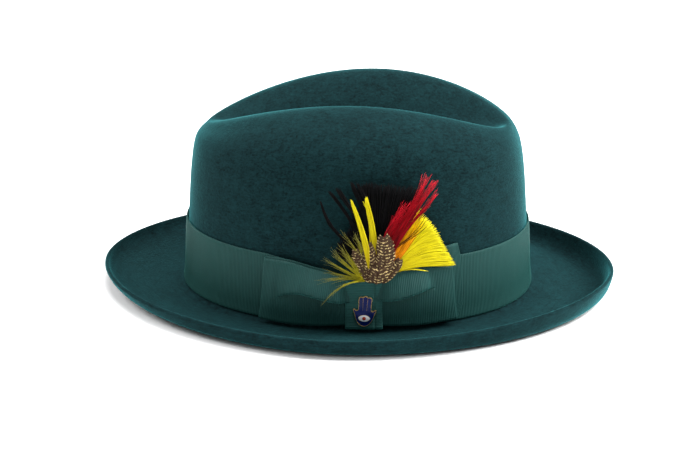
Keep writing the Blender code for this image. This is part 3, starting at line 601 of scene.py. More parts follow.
def bow_loop(name, side, rows, lean):
    """A loop's grid: front layer outwards, round the end, back layer in again."""
    place, foot, fold, top, depth = (np.array(column) for column in zip(*rows))
    turn = (FRONT_LAYER - BACK_LAYER) / 2
    out = np.arange(place[0], place[-1], RIB_PITCH / RIB_POINTS)
    bends = np.linspace(math.pi / 2, -math.pi / 2, TURN_COLUMNS)[1:-1]
    flat, end = np.ones(len(out)), out[-1]
    folded = np.concatenate([out, np.full(len(bends), end), out[::-1]])
    front = np.concatenate([flat, (np.sin(bends) + 1) / 2, flat * 0])
    base_w = BACK_LAYER + 2 * turn * front
    extra_u = np.concatenate([flat * 0, turn * np.cos(bends), flat * 0])
    foot, fold, top, depth = (np.interp(folded, place, column) for column in (foot, fold, top, depth))
    gather = np.exp(-np.clip(folded - GATHER_FROM, 0, 1) / GATHER_FADE) * (folded > GATHER_FROM)
    free = np.clip((folded - KNOT_SIDE) / KNOT_CLEAR, 0, 1) * np.clip((end - folded) / END_CLEAR, 0, 1)
    low_share = (fold - foot) / (top - foot)
    depth = depth * LOOP_DEPTH
    pleated = np.clip(depth / PLEAT_FROM, 0, 1)
    tuck = PLEAT_TUCK * pleated

    def puff(share):
        return LOOP_PUFF * free * np.sin(math.pi * share)

    v_rows, w_rows = [], []
    for t in np.linspace(0, 1, LOWER_ROWS):
        v_rows.append(foot + (fold + tuck - foot) * t)
        w_rows.append(depth * LOOP_LEAN * t**1.3 + puff(t * low_share))
    for t in (0.25, 0.5, 0.75):
        v_rows.append(fold + tuck * (1 - t) + (1 - pleated) * FLAT_STEP * t)
        w_rows.append(depth * (LOOP_LEAN + (1 - LOOP_LEAN) * t) + puff(low_share))
    for t in np.linspace(0, 1, UPPER_ROWS):
        v_rows.append(fold + (top - fold) * (t * (1 - LIP_SHARE) + LIP_SHARE))
        fall = math.cos(t * math.pi / 2) ** 1.1 * math.sqrt(min(1.0, 0.75 + t * 4))
        crease = GATHER_HEIGHT * gather * math.sin(t * GATHER_TURN)
        w_rows.append(depth * fall + puff(low_share + (1 - low_share) * t) + crease)
    v, w = np.array(v_rows), base_w + front * np.array(w_rows)
    v = v + (1 - front) * LOOP_BACK_LIFT * np.clip((v - fold) / LOOP_BACK_RISE, 0, 1)
    share = (v - foot.min()) / (top.max() - foot.min())
    u = folded + extra_u - lean * share * (folded / place[-1]) ** 2
    round_end = end + turn * (math.pi / 2 - bends)
    along = np.concatenate([out, round_end, 2 * end + math.pi * turn - out[::-1]])
    if side < 0:
        u, v, w, along = -u[:, ::-1], v[:, ::-1], w[:, ::-1], along[::-1]
        along = along[0] - along
    loop = ribbon_piece(name, u, v, w, along)
    finish_piece(loop, grosgrain, "ribbon", name.replace("ribbon", "bow"))


bow_loop("ribbon_loop_left", -1, LOOP_LEFT_ROWS, 0.0028)
bow_loop("ribbon_loop_right", 1, LOOP_RIGHT_ROWS, 0.0024)

# The knot: a strip of the ribbon turned on its side and wrapped once round the middle of the bow, so
# its ribs lie level. It is creased down its right side and turns under at its foot.
KNOT_LEFT, KNOT_RIGHT = -0.0098, 0.0102
KNOT_TOP, KNOT_FOOT = 0.0330, 0.0046
KNOT_W, KNOT_BACK_W = 0.00590, 0.0033
CREASE_U, CREASE_WIDTH, CREASE_DEPTH, CREASE_STEP = 0.0060, 0.0003, 0.0004, 0.00025
KNOT_EDGE_FROM, KNOT_EDGE_WIDTH, KNOT_EDGE_DROP, KNOT_THICK = 0.0085, 0.0015, 0.0005, 0.0008
knot_u = np.linspace(KNOT_LEFT, KNOT_RIGHT, 44)[:, None]
knot_turn = (KNOT_W - KNOT_BACK_W) / 2
straight = np.arange(KNOT_TOP, KNOT_FOOT + knot_turn, -RIB_PITCH / RIB_POINTS)
bends = np.linspace(0, math.pi, 20)[1:]
knot_v = np.concatenate([straight, KNOT_FOOT + knot_turn - knot_turn * np.sin(bends)])
knot_w = np.concatenate([np.full(len(straight), KNOT_W), KNOT_BACK_W + knot_turn + knot_turn * np.cos(bends)])
knot_along = np.concatenate([KNOT_TOP - straight, KNOT_TOP - straight[-1] + knot_turn * bends])
knot_crease = CREASE_DEPTH * np.exp(-(((knot_u - CREASE_U) / CREASE_WIDTH) ** 2))
knot_crease = knot_crease + CREASE_STEP * (knot_u > CREASE_U)
knot_edge = KNOT_EDGE_DROP * np.clip((np.abs(knot_u) - KNOT_EDGE_FROM) / KNOT_EDGE_WIDTH, 0, 1)
knot_shape = (knot_crease + knot_edge) * np.clip(knot_w / KNOT_W, 0, 1)
knot_w = (knot_w - knot_shape)[::-1]
knot = ribbon_piece("ribbon_knot", knot_u[::-1], knot_v[None, :], knot_w, knot_along, thickness=KNOT_THICK)
# the knot wears the same ribbon with its colours painted lighter, a painted highlight for the light that its
# level ribs catch from above
knot_lit_cloth = ribbon_cloth("grosgrain_painted_lighter", (0.0060, 0.0400, 0.0370, 1.0), (0.0170, 0.0900, 0.0820, 1.0))
finish_piece(knot, knot_lit_cloth, "ribbon", "bow_knot")

# The feather mount: dyed hackles and goose barbs glued at the root and tucked in behind the knot.
# Every barb is a thin blade of its own. Places are u and v in millimetres on the crown.
MM = 0.001
BARB_SECTIONS, BARB_RIDGE, BARB_LEAST = 9, 0.35, 0.00004
BARB_ROOT, BARB_SWELL, BARB_CURVE = 0.35, 4, 2.2
rng = np.random.default_rng(7)


def points_at(wanted, at, points):
    """Points read off between rows of points, each of which has its place in at."""
    return np.stack([np.interp(wanted, at, points[:, a]) for a in range(points.shape[1])], -1)


def along_guides(guides, where, count):
    """The path at a share of the way across a row of guide lines, as count points."""
    lines = []
    for guide in guides:
        points = np.array(guide, float)
        spread = np.linspace(0, 1, len(points) * 8)
        line = points_at(spread, np.linspace(0, 1, len(points)), points)
        for _ in range(6):
            line[1:-1] = (line[:-2] + 2 * line[1:-1] + line[2:]) / 4
        lines.append(points_at(np.linspace(0, 1, count), spread, line))
    if len(lines) == 1:
        return lines[0]
    place = where * (len(lines) - 1)
    k = min(int(place), len(lines) - 2)
    return lines[k] * (1 - (place - k)) + lines[k + 1] * (place - k)


def barb_mesh(name, paths, widths, tones, taper=0.55):
    """One mesh of blades. paths is barbs by sections by u, v, w in metres; its UV map is tone and length."""
    paths = np.asarray(paths)
    count, sections = paths.shape[:2]
    share = np.linspace(0, 1, sections)
    step = np.gradient(paths[..., :2], axis=1)
    side = np.stack([-step[..., 1], step[..., 0]], -1)
    side /= np.maximum(np.linalg.norm(side, axis=-1, keepdims=True), 1e-9)
    swell = np.minimum(1.0, BARB_ROOT + share * BARB_SWELL)
    half = widths[:, None] * 0.5 * swell * (1 - share**BARB_CURVE) ** taper
    half = np.maximum(half, BARB_LEAST)
    corners = np.repeat(paths[:, :, None, :], 3, axis=2)
    corners[:, :, 0, :2] += side * half[..., None]
    corners[:, :, 1, :2] -= side * half[..., None]
    corners[:, :, 2, 2] += np.maximum(half * BARB_RIDGE, BARB_LEAST)
    points = wrap(corners[..., 0], corners[..., 1], corners[..., 2]).reshape(-1, 3)
    first = (np.arange(count) * sections * 3)[:, None]
    here = first + np.arange(sections - 1) * 3
    faces = []
    for a, b in ((0, 1), (1, 2), (2, 0)):
        side_quads = np.stack([here + a, here + 3 + a, here + 3 + b, here + b], -1)
        faces += side_quads.reshape(-1, 4).tolist()
    faces += [[start, start + 1, start + 2] for start in first[:, 0].tolist()]
    faces += [[end + 2, end + 1, end] for end in (here[:, -1] + 3).tolist()]
    shape = (count, sections, 3)
    tone, length = np.broadcast_to(tones[:, None, None], shape), np.broadcast_to(share[:, None], shape)
    lay = np.stack([tone, length], -1).reshape(-1, 2)
    mesh = bpy.data.meshes.new(name)
    mesh.from_pydata(points.tolist(), [], faces)
    uv = mesh.uv_layers.new(name="lay")
    uv.data.foreach_set("uv", lay[[corner for face in faces for corner in face]].astype("f").ravel())
    mesh.shade_smooth()
    return placed(name, mesh)


# the fine hackles at the left, each a bunch that narrows towards its own path
HACKLES = (
    ((0.5, 34.6), (-3.5, 36.6), (-8.0, 39.0), (-14.2, 42.6), (-18.5, 45.6), (-23.2, 46.3)),
    ((0.5, 34.4), (-4.5, 36.0), (-9.4, 37.2), (-16.0, 39.0), (-20.8, 40.8)),
    ((0.5, 34.2), (-4.0, 35.2), (-9.4, 35.9), (-17.9, 35.2), (-24.8, 33.6)),
    ((0.0, 34.2), (-5.0, 34.6), (-9.6, 33.6), (-15.8, 28.8), (-21.6, 20.6)),
    ((0.8, 35.2), (-3.6, 38.4), (-9.2, 43.6), (-13.9, 47.6), (-17.8, 52.0)),
    ((1.0, 35.4), (-2.6, 38.4), (-6.0, 43.8), (-9.2, 47.8), (-12.6, 51.2)),
    ((1.6, 36.0), (-0.6, 41.4), (-2.2, 49.1), (-6.6, 55.4), (-11.7, 61.0)),
    ((2.4, 36.0), (0.1, 42.0), (-1.2, 51.9), (-3.9, 57.8), (-6.0, 63.2)),
    ((2.6, 36.0), (1.0, 42.9), (0.1, 51.2), (-2.6, 56.9), (-8.0, 58.8)),
    ((2.0, 35.6), (-2.0, 40.4), (-7.0, 46.0), (-11.4, 52.6), (-14.4, 57.0)),
)
HACKLE_SPREAD_U, HACKLE_SPREAD_V = 1.7, 1.0
# the lowest one hangs in front of the bow
HACKLE_W, LOW_HACKLE_W, LOW_HACKLE_V = 10.5, 15.5, 30


def hackle(path):
    beside = []
    for number, (u, v) in enumerate(path):
        left = 1 - number / len(path)
        beside.append((u + HACKLE_SPREAD_U * left, v + HACKLE_SPREAD_V * left))
    tip_w = LOW_HACKLE_W if path[-1][1] < LOW_HACKLE_V else HACKLE_W
    return 15, 0.34, 8.4, tip_w, 2.2, 0.26, (path, beside)


USUAL = 0.035
# a row for each bunch: barbs, their width, stand-off at root and tip, how far tips stray, share of the
# length that a barb may lose, and guide lines from root to tip, from left to right
PLUMES = (
    {"name": "plume_black", "node": "feather_black", "finish": "black", "bunches": (
        (420, 1.2, 6.5, 4.6, 1.2, USUAL, (
            ((5.0, 34.0), (4.6, 47), (0.5, 72), (-1.5, 87.5)),
            ((6.0, 34.0), (6.4, 47), (5.5, 70), (3.5, 88.3)),
            ((7.0, 34.0), (8.5, 50), (11.5, 70), (14.0, 87.2)),
            ((8.0, 34.0), (11.0, 50), (18.0, 70), (23.0, 86.0)),
            ((9.0, 34.0), (13.5, 50), (25.0, 68), (34.0, 84.6)))),
        (30, 0.9, 6.6, 5.0, 0.5, USUAL, (
            ((2.9, 45), (2.4, 58), (-3.8, 69), (-11.4, 78), (-16.8, 85.0)),
            ((4.6, 45), (3.4, 57), (-2.4, 68), (-8.9, 77), (-14.4, 84.6)))),
        (26, 0.9, 6.6, 5.0, 0.5, USUAL, (
            ((1.6, 44), (0.2, 56), (-7.0, 67), (-14.4, 77), (-20.6, 83.2)),
            ((2.8, 44), (1.6, 56), (-5.6, 66), (-12.4, 76), (-18.8, 82.8)))),
        (30, 0.9, 6.6, 5.0, 0.5, USUAL, (
            ((3.4, 48), (3.6, 60), (-0.9, 74), (-5.2, 82), (-8.6, 88.4)),
            ((4.8, 48), (4.8, 60), (1.4, 74), (-2.6, 82), (-6.8, 87.8)))),
        (30, 0.9, 6.6, 5.0, 0.5, USUAL, (
            ((4.6, 50), (4.6, 60), (1.4, 75), (-2.4, 82), (-5.4, 88.2)),
            ((5.8, 50), (5.8, 60), (3.6, 75), (0.4, 82), (-3.6, 87.6)))),
        (60, 1.0, 6.4, 5.0, 1.0, 0.12, (
            ((1.6, 44), (-0.6, 54), (-6.0, 64), (-9.4, 69)),
            ((3.4, 46), (2.6, 58), (-1.4, 69), (-4.6, 74)),
            ((4.8, 50), (4.8, 60), (2.4, 71), (0.4, 78)))),
        (14, 0.7, 6.6, 6.0, 0.5, USUAL, (
            ((2.0, 38), (-4.0, 50), (-10.6, 56.6), (-19.2, 64), (-22.8, 72), (-24.4, 77.8)),
            ((3.2, 38), (-2.6, 50), (-8.4, 56.0), (-16.8, 63), (-21.6, 71), (-24.0, 77.0)))),
        # this soft bunch fills a dark mass low at the left, partly black barbs and partly a painted shadow of
        # the feathers on the crown
        (110, 1.0, 6.6, 5.6, 1.4, 0.12, (
            ((1.0, 36), (-5, 42), (-11, 47), (-15.5, 52)),
            ((1.4, 36), (-4, 44), (-9, 51), (-12.5, 58)),
            ((1.8, 36), (-2, 47), (-5, 56), (-7.5, 64)),
            ((2.2, 36), (0, 48), (-2, 58), (-4.0, 70)))),
        (3, 0.35, 9.0, 9.0, 0.3, USUAL, (
            ((15.6, 51.6), (23.0, 56.9), (30.5, 60.6), (34.7, 64.4)),
            ((16.9, 54.4), (23.7, 58.2), (30.6, 66.1), (32.9, 72.2)))),
    )},
    {"name": "plume_yellow_fan", "node": "feather_yellow_fan", "finish": "yellow", "bunches": (
        (320, 0.95, 7.3, 6.4, 0.45, USUAL, (
            ((11.6, 36.6), (21, 41.0), (31.3, 41.9), (41.7, 40.8), (51.0, 39.6)),
            ((12.0, 37.0), (22, 42.6), (33, 44.4), (42, 44.0), (49.4, 42.6)),
            ((12.4, 37.4), (22, 44.6), (32, 48.0), (40, 48.6), (46.8, 47.4)),
            ((12.8, 38.0), (21, 46.2), (30, 51.0), (38, 53.2), (44.0, 53.2)),
            ((13.2, 39.0), (21, 48.6), (29, 55.0), (35, 58.0), (41.4, 59.4)),
            ((13.6, 40.0), (20, 50.0), (27, 58.0), (32, 62.0), (38.0, 65.2)),
            ((14.0, 41.0), (19, 51.0), (25, 60.0), (29, 65.0), (34.0, 69.8)))),
        (5, 0.5, 7.2, 6.8, 0.5, USUAL, (
            ((16, 38.6), (21.0, 40.6), (28.5, 40.6), (36.5, 38.0)),
            ((16, 38.4), (21.0, 40.0), (27.5, 39.9), (33.5, 38.2)))),
    )},
    {"name": "plume_orange", "node": "feather_orange", "finish": "orange", "bunches": (
        (80, 0.6, 8.1, 7.6, 0.6, 0.10, (
            ((9.8, 38), (12.2, 47), (18.0, 56), (23.5, 65), (30.8, 74.2)),
            ((10.6, 38), (15.2, 46), (21.0, 55), (26.5, 64), (32.6, 72.6)),
            ((11.6, 38), (19.0, 46), (25.0, 54), (29.5, 60.5), (33.2, 65.6)))),
    )},
    {"name": "plume_yellow_spikes", "node": "feather_yellow_spikes", "finish": "yellow", "bunches": (
        (26, 0.6, 12.6, 9.0, 0.35, USUAL, (
            ((2.6, 43), (0.4, 53), (-2.0, 63), (-5.0, 73), (-7.2, 79.4)),
            ((3.2, 43), (3.4, 54), (0.4, 64), (-3.2, 73), (-6.4, 79.0)))),
        (22, 0.6, 9.4, 8.6, 0.3, USUAL, (
            ((5.0, 42), (5.0, 56), (2.4, 69), (1.0, 76), (0.6, 81.3)),
            ((6.6, 42), (7.4, 56), (5.4, 68), (3.4, 75.5), (1.9, 80.8)))),
        (7, 0.4, 9.0, 8.6, 0.5, USUAL, (
            ((3.6, 52), (3.3, 63), (2.8, 68.3), (2.0, 74.4), (-0.7, 78.6)),
            ((4.2, 52), (3.6, 63), (3.2, 68.3), (2.4, 74.0), (0.0, 77.6)))),
    )},
    {"name": "plume_red", "node": "feather_red", "finish": "red", "bunches": (
        (46, 0.34, 9.2, 10.0, 1.8, 0.16, (
            ((10.4, 44), (9.8, 58), (13.4, 66), (17.0, 72), (20.4, 77)),
            ((11.6, 44), (12.6, 58), (17.5, 67), (22.0, 74), (25.6, 79.6)))),
        (34, 0.32, 9.2, 11.0, 2.0, 0.09, (
            ((12.0, 44), (12.8, 55), (19.0, 66), (24.3, 75), (28.8, 84), (32.0, 91.8)),
            ((13.2, 44), (15.2, 55), (21.8, 66), (26.4, 75), (30.6, 84), (33.8, 91.2)))),
        (38, 0.34, 9.4, 11.4, 1.7, 0.09, (
            ((12.8, 44), (14.6, 54), (21.0, 66), (27.6, 77.0), (33.4, 85), (37.0, 89.6)),
            ((13.8, 44), (17.2, 54), (24.6, 66), (30.8, 77.0), (35.6, 84), (38.6, 88.0)))),
        (30, 0.34, 9.4, 11.4, 1.6, 0.12, (
            ((13.6, 44), (16.4, 55), (24.4, 67.4), (31.2, 74.2), (36.0, 80.2), (39.0, 84.0)),
            ((14.0, 44), (17.8, 55), (26.2, 67.0), (32.6, 73.0), (36.8, 78.6), (38.6, 82.0)))),
        (110, 0.40, 8.8, 9.4, 1.8, 0.24, (
            ((9.6, 44), (9.0, 55), (12.0, 63), (15.0, 68.0)),
            ((11.0, 44), (12.6, 56), (18.0, 67), (24.0, 76.0)),
            ((12.6, 44), (15.4, 55), (23.0, 67.0), (31.6, 79.0)))),
    )},
    {"name": "plume_olive", "node": "feather_olive", "finish": "olive",
     "bunches": [hackle(path) for path in HACKLES]},
)

# colours at the root, in the middle and at the tip of a barb, roughness, gloss, how pointed the tip is
# and how dark its darkest streaks are
DYES = {
    "black": ((4e-4, 4e-4, 6e-4), (6e-4, 6e-4, 9e-4), (7e-4, 7e-4, 1.1e-3), 0.65, 0.06, 0.22, 0.60),
    "yellow": ((0.34, 0.25, 4e-4), (0.54, 0.45, 3e-4), (0.56, 0.49, 1e-3), 0.65, 0.15, 0.35, 0.80),
    "orange": ((0.40, 0.02, 8e-4), (0.70, 0.24, 6e-4), (0.85, 0.60, 1e-3), 0.60, 0.08, 0.80, 0.55),
    "red": ((0.04, 6e-4, 1e-3), (0.32, 1.2e-3, 6e-3), (0.80, 0.008, 0.026), 0.60, 0.08, 1.40, 0.16),
    "olive": ((0.48, 0.40, 0.003), (0.33, 0.30, 0.01), (0.20, 0.19, 0.04), 0.60, 0.15, 1.20, 0.45),
}

barb_tone, tone_in, tone_out = new_group(
    "barb_tone",
    Root=("Color", (0, 0, 0, 1)),
    Middle=("Color", (0.5, 0.5, 0.5, 1)),
    Tip=("Color", (1, 1, 1, 1)),
    Darkest=("Float", 0.6),
)
lay_map = lay_of(barb_tone)
length = axis_of(barb_tone, lay_map, "Y")
low = ranged(barb_tone, length, From_Min=0.0, From_Max=0.45)
high = ranged(barb_tone, length, From_Min=0.55, From_Max=1.0)
root_half = blend(barb_tone, low, tone_in["Root"], tone_in["Middle"])
whole = blend(barb_tone, high, root_half, tone_in["Tip"])
streak = noise(barb_tone, stretched(barb_tone, lay_map, 60.0, 5.0, 1.0), 1.0, 2.0)
level = add(barb_tone, "ShaderNodeMapRange", Value=streak, From_Min=0.3, From_Max=0.7, To_Max=1.2)
put(barb_tone, level, "To Min", tone_in["Darkest"])
tinted = add(barb_tone, "ShaderNodeVectorMath", {"operation": "SCALE"}, Scale=level.outputs["Result"])
put(barb_tone, tinted, 0, whole)
put(barb_tone, tone_out, "Color", tinted.outputs[0])
put(barb_tone, tone_out, "Height", streak)


def dyed(name):
    root, middle, tip, roughness, gloss, _, darkest = DYES[name]
    made, tree, shader = shader_of("barbs_" + name, Roughness=roughness, Specular_IOR_Level=gloss)
    colours = {"Root": (*root, 1), "Middle": (*middle, 1), "Tip": (*tip, 1)}
    dress(tree, shader, barb_tone, 0.2, 0.0001, Darkest=darkest, **colours)
    return made


dyes = {name: dyed(name) for name in DYES}
# the most of its length that a barb loses, then how far its bend, its stand-off and its tip's stray
SHORT_MOST, BEND_STRAY, W_STRAY, TIP_W_STRAY = 0.6, 0.12, 0.5, 0.25
for plume in PLUMES:
    paths, widths, tones = [], [], []
    share = np.linspace(0, 1, BARB_SECTIONS)
    for barbs, width, root_w, tip_w, fray, short, guides in plume["bunches"]:
        for i in range(barbs):
            where = (i + rng.uniform(0.1, 0.9)) / barbs
            reach = 1 - min(SHORT_MOST, abs(rng.normal(0, short)))
            line = points_at(share * reach, share, along_guides(guides, where, BARB_SECTIONS))
            line += rng.normal(0, fray * 0.5, 2) * (share**3)[:, None]
            line += rng.normal(0, BEND_STRAY, 2) * np.sin(share * math.pi)[:, None]
            w = root_w + (tip_w - root_w) * share + rng.uniform(0, W_STRAY)
            w = w + rng.normal(0, TIP_W_STRAY) * share**2
            paths.append(np.concatenate([line, w[:, None]], -1) * MM)
            widths.append(width * MM * rng.uniform(0.7, 1.15))
            tones.append(rng.uniform(0, 1))
    pointed = DYES[plume["finish"]][5]
    piece = barb_mesh(plume["name"], paths, np.array(widths), np.array(tones), taper=pointed)
    slot = plume["node"].replace("_fan", "").replace("_spikes", "")
    finish_piece(piece, dyes[plume["finish"]], slot, plume["node"])

# The speckled feathers: small barred body feathers, brown with broken cream bars, laid over the roots
# of the others like tiles. Each has a shaft with barbs close together on both sides.
# the shaft's path, its greatest half width, stand-off, barbs on each side
SPECKLED = (
    (((4.4, 33.8), (0.4, 41), (-2.4, 47), (-4.4, 53.0)), 3.2, 10.0, 44),
    (((9.6, 33.8), (13.8, 38.5), (17.2, 43), (19.6, 47.4)), 2.8, 10.0, 40),
    (((6.0, 33.8), (4.6, 41), (3.2, 49), (2.4, 57.0)), 4.0, 10.5, 60),
    (((8.0, 33.8), (9.8, 41), (11.2, 47), (11.4, 54), (10.6, 61.4)), 5.2, 11.0, 80),
    (((6.8, 33.6), (7.2, 36), (7.6, 39), (7.8, 42.5)), 5.0, 11.5, 40),
)
SPECK_BARB, SPECK_SECTIONS, SHAFT_POINTS, SHAFT_REACH = 0.62, 6, 60, 0.93
SPECK_DROOP, SPECK_RISE, SPECK_SWEEP, BAR_SWEEP, SPECK_APART = 0.9, 0.6, 1.05, 0.62, 20.0
SPECK_ROOT, SPECK_ROUND, SPECK_STRAY = 0.22, 0.55, 0.1
speck_paths, speck_lays = [], []
shaft_at = np.arange(SHAFT_POINTS)
share = np.linspace(0, 1, SPECK_SECTIONS)[:, None]
for number, (path, half_width, stand, barbs) in enumerate(SPECKLED):
    shaft = along_guides((path,), 0.0, SHAFT_POINTS)
    forwards = np.gradient(shaft, axis=0)
    forwards /= np.linalg.norm(forwards, axis=1, keepdims=True)
    length = np.linalg.norm(np.diff(shaft, axis=0), axis=1).sum()
    for side in (-1, 1):
        for i in range(barbs):
            at = (i + 0.5) / barbs * SHAFT_REACH
            root, forward = (points_at(at * (SHAFT_POINTS - 1), shaft_at, line) for line in (shaft, forwards))
            outward = np.array([forward[1], -forward[0]]) * side
            swell = math.sin(math.pi * min(1.0, SPECK_ROOT + at * (1 - SPECK_ROOT))) ** SPECK_ROUND
            reach = half_width * swell * rng.uniform(0.9, 1.08)
            line = root + outward * reach * share**0.9 + forward * reach * SPECK_SWEEP * share**1.15
            w = stand - SPECK_DROOP * share**1.5 + rng.uniform(-SPECK_STRAY, SPECK_STRAY) + SPECK_RISE * at
            speck_paths.append(np.concatenate([line, w], -1) * MM)
            across = side * reach * share + SPECK_APART * number
            speck_lays.append(np.concatenate([across, at * length + reach * BAR_SWEEP * share], -1))
speck_count = len(speck_paths)
speck_widths = np.full(speck_count, SPECK_BARB * MM)
speckled = barb_mesh("plume_speckled", speck_paths, speck_widths, np.zeros(speck_count))
speck_lays = np.repeat(np.array(speck_lays)[:, :, None, :], 3, axis=2).reshape(-1, 2)
corner_points = np.empty(len(speckled.data.loops), dtype=int)
speckled.data.loops.foreach_get("vertex_index", corner_points)
speckled.data.uv_layers["lay"].data.foreach_set("uv", speck_lays[corner_points].astype("f").ravel())

# the bars run across each feather, wander a little and are broken into dashes
BAR_PITCH, BAR_WANDER = 1.7, 1.4
SPECK_BROWN, SPECK_CREAM = (0.044, 0.018, 0.005, 1.0), (0.74, 0.56, 0.24, 1.0)
barred, tree, shader = shader_of("barbs_barred", Roughness=0.55, Specular_IOR_Level=0.3)
lay_map = lay_of(tree)
wander = noise(tree, lay_map, 0.7, 1.0)
length = axis_of(tree, lay_map, "Y")
curved = reckon(tree, "MULTIPLY_ADD", wander, BAR_WANDER, length)
bar = reckon(tree, "SINE", reckon(tree, "MULTIPLY", curved, 2 * math.pi / BAR_PITCH))
dash = noise(tree, stretched(tree, lay_map, 0.75, 0.25, 1.0), 1.0, 1.0)
bar = ranged(tree, bar, From_Min=0.62, From_Max=0.98)
dash = ranged(tree, dash, From_Min=0.44, From_Max=0.54)
put(tree, shader, "Base Color", blend(tree, reckon(tree, "MULTIPLY", bar, dash), SPECK_BROWN, SPECK_CREAM))
finish_piece(speckled, barred, "feather_speckled", "feather_speckled")

# The hand pin: a small open hand in gilt metal with two thumbs, its hollows filled with blue enamel,
# and an eye in white and red enamel in the palm. A post behind it goes through the knot.
PIN_U, PIN_V = 0.0007, 0.0160
PIN_W = 0.00640
PIN_LEAN = math.radians(4.0)
# right half of the outline in millimetres from the middle fingertip down
HAND = (
    (0.0, 9.0), (0.85, 8.85), (1.25, 8.4), (1.5, 8.3), (2.2, 8.6), (3.1, 8.4), (3.75, 7.7), (3.8, 6.4),
    (3.6, 3.0), (3.7, 0.9), (4.3, 0.3), (5.1, 0.7), (5.9, 1.25), (6.6, 1.0), (6.5, 0.2), (6.0, -0.5),
    (5.7, -1.8), (5.1, -3.8), (4.2, -5.8), (3.0, -7.4), (1.6, -8.4), (0.0, -8.8),
)
BRIDGES = (((-1.25, 7.6), (-1.2, 4.5), (-1.1, 0.6)), ((1.25, 7.6), (1.2, 4.5), (1.1, 0.6)))
PIN_PLATE, PIN_RIM_RADIUS, PIN_BRIDGE_RADIUS = 0.9, 0.15, 0.08
PIN_WIRE_Z, WIRE_SIDES = 0.55, 8
EYE_Y, EYE_HALF, EYE_RISE, PUPIL, EYE_WIRE_RADIUS = -3.9, 3.25, 1.85, 1.05, 0.14

pin_origin = wrap(PIN_U, PIN_V, 0.0)
pin_along = wrap(PIN_U + 0.005, PIN_V, 0.0) - wrap(PIN_U - 0.005, PIN_V, 0.0)
pin_along /= np.linalg.norm(pin_along)
pin_up = wrap(PIN_U, PIN_V + 0.005, 0.0) - wrap(PIN_U, PIN_V - 0.005, 0.0)
pin_up -= pin_along * pin_along.dot(pin_up)
pin_up /= np.linalg.norm(pin_up)
pin_out = np.cross(pin_along, pin_up)


def on_pin(x, y, z):
    """Points in space from millimetres across, up and out of the pin's back."""
    x, y, z = (np.asarray(a, float) for a in np.broadcast_arrays(x, y, z))
    across = (x * math.cos(PIN_LEAN) + y * math.sin(PIN_LEAN)) * MM
    rise = (y * math.cos(PIN_LEAN) - x * math.sin(PIN_LEAN)) * MM
    stand = PIN_W + z * MM
    return (
        pin_origin
        + pin_along * across[..., None]
        + pin_up * rise[..., None]
        + pin_out * stand[..., None]
    )


def smooth_loop(points, count, closed=True):
    """A rounded line through points, evenly spaced."""
    points = np.array(points, float)
    line = np.concatenate([points, points[:1]]) if closed else points
    steps = np.concatenate([[0.0], np.cumsum(np.linalg.norm(np.diff(line, axis=0), axis=1))])
    wanted = np.linspace(0, steps[-1], count + closed)
    line = points_at(wanted, steps, line)
    if closed:
        line = line[:-1]
        for _ in range(3):
            line = (np.roll(line, 1, 0) + 2 * line + np.roll(line, -1, 0)) / 4
    return line


hand_line = smooth_loop([(-x, y) for x, y in HAND] + list(HAND)[::-1][1:-1], 220)


def inset(line, amount):
    ahead, behind = np.roll(line, -1, 0), np.roll(line, 1, 0)
    edge = ahead - behind
    inward = np.stack([-edge[:, 1], edge[:, 0]], -1) / np.linalg.norm(edge, axis=1, keepdims=True)
    return line + inward * amount


def ring_piece(name, rings):
    """A closed piece from like rings of points, with a face over the first and the last."""
    rings = np.array(rings)
    rows, n = rings.shape[:2]
    caps = [tuple(range(n))[::-1], tuple(range(rows * n - n, rows * n))]
    lay = np.stack(np.broadcast_arrays(np.linspace(0, 0.05, n + 1), np.arange(rows)[:, None] * MM), -1)
    return grid_piece(name, rings, lay, around=True, caps=caps)


def plate(name, line, heights):
    """A plate built of inset copies of its outline: heights is pairs of inset and height, back to front."""
    return ring_piece(name, [on_pin(*inset(line, amount).T, z) for amount, z in heights])


def wire_rings(line, z, radius, closed):
    """Rings of a thin raised wire that follows a line on the pin."""
    if closed:
        step = np.roll(line, -1, 0) - np.roll(line, 1, 0)
    else:
        step = np.gradient(line, axis=0)
    step /= np.linalg.norm(step, axis=1, keepdims=True)
    side = np.stack([step[:, 1], -step[:, 0]], -1)
    turns = np.linspace(0, 2 * math.pi, WIRE_SIDES + 1)[:-1]
    x = line[None, :, 0] + side[None, :, 0] * np.cos(turns)[:, None] * radius
    y = line[None, :, 1] + side[None, :, 1] * np.cos(turns)[:, None] * radius
    return on_pin(x, y, z + np.sin(turns)[:, None] * radius * np.ones_like(x))


gilt, tree, shader = shader_of("gilt", Metallic=1.0)
scuff = noise(tree, add(tree, "ShaderNodeTexCoord").outputs["Object"], 900.0, 4.0)
gilt_rough = ranged(tree, scuff, To_Min=0.18, To_Max=0.42)
put(tree, shader, "Base Color", blend(tree, scuff, (0.34, 0.21, 0.07, 1.0), (0.60, 0.42, 0.17, 1.0)))
put(tree, shader, "Roughness", gilt_rough)

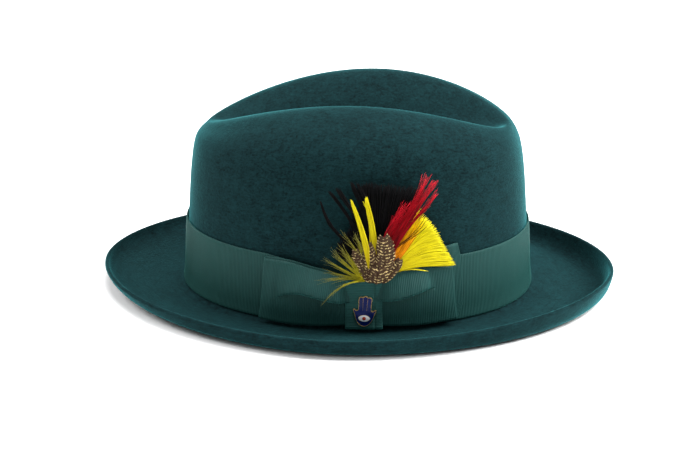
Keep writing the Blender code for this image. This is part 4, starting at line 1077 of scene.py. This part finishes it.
pin_plate = plate("pin_gilt", hand_line, ((0.12, 0.0), (0.0, 0.12), (0.0, PIN_PLATE - 0.1), (0.1, PIN_PLATE)))
finish_piece(pin_plate, gilt, "gold", "pin_plate")
eye_turns = np.linspace(0, 2 * math.pi, 61)[:-1]
eye_line = np.stack([EYE_HALF * np.cos(eye_turns), EYE_Y + EYE_RISE * np.sin(eye_turns)], -1)
wires = [(inset(hand_line, PIN_RIM_RADIUS), PIN_RIM_RADIUS, True)]
wires += [(smooth_loop(line, 24, closed=False), PIN_BRIDGE_RADIUS, False) for line in BRIDGES]
wires += [(eye_line, EYE_WIRE_RADIUS, True)]
for number, (line, radius, closed) in enumerate(wires):
    grid = wire_rings(line, PIN_PLATE + PIN_WIRE_Z, radius, closed)
    n = grid.shape[1]
    rounds = np.linspace(0, MM, WIRE_SIDES + 1)[:, None]
    lay = np.stack(np.broadcast_arrays(np.linspace(0, 0.03, n + 1), rounds), -1)
    first = tuple(r * n for r in range(WIRE_SIDES))
    caps = [] if closed else [first, tuple(corner + n - 1 for corner in first)[::-1]]
    wire = grid_piece("pin_wire_%d" % number, grid, lay, around=closed, across=True, caps=caps)
    finish_piece(wire, gilt, "gold")


def enamel(name, dark, light):
    made, tree, shader = shader_of(
        name, Roughness=0.32, Specular_IOR_Level=0.15, Coat_Weight=0.03, Coat_Roughness=0.05
    )
    cloud = noise(tree, add(tree, "ShaderNodeTexCoord").outputs["Object"], 420.0, 2.0)
    put(tree, shader, "Base Color", blend(tree, cloud, dark, light))
    return made


def dome(name, half_width, half_height, base, rise, pointed):
    """A low dome on an oval or almond base."""
    turns = np.linspace(0, 2 * math.pi, 49)[:-1]
    x, y = half_width * np.cos(turns), half_height * np.sin(turns) * np.abs(np.sin(turns)) ** pointed
    rings = [on_pin(x, EYE_Y + y, base - 0.4)]
    for share in (1.0, 0.92, 0.75, 0.5, 0.25):
        rings.append(on_pin(x * share, EYE_Y + y * share, base + rise * (1 - share**2)))
    return ring_piece(name, rings)


blue_enamel = enamel("enamel_blue", (0.0001, 0.0050, 0.050, 1.0), (0.0002, 0.0100, 0.110, 1.0))
white_enamel = enamel("enamel_white", (0.62, 0.64, 0.68, 1.0), (0.85, 0.86, 0.88, 1.0))
red_enamel = enamel("enamel_red", (0.20, 0.010, 0.004, 1.0), (0.42, 0.045, 0.015, 1.0))
fill = ((0.12, PIN_PLATE + 0.02), (0.12, PIN_PLATE + 0.48), (0.35, PIN_PLATE + 0.60))
finish_piece(plate("pin_blue", hand_line, fill), blue_enamel, "enamel_blue", "pin_enamel")
white = dome("pin_white", EYE_HALF, EYE_RISE, PIN_PLATE + 0.75, 0.18, 0.35)
finish_piece(white, white_enamel, "enamel_white", "pin_eye")
red = dome("pin_red", PUPIL, PUPIL, PIN_PLATE + 0.98, 0.22, 0.0)
finish_piece(red, red_enamel, "enamel_red", "pin_pupil")
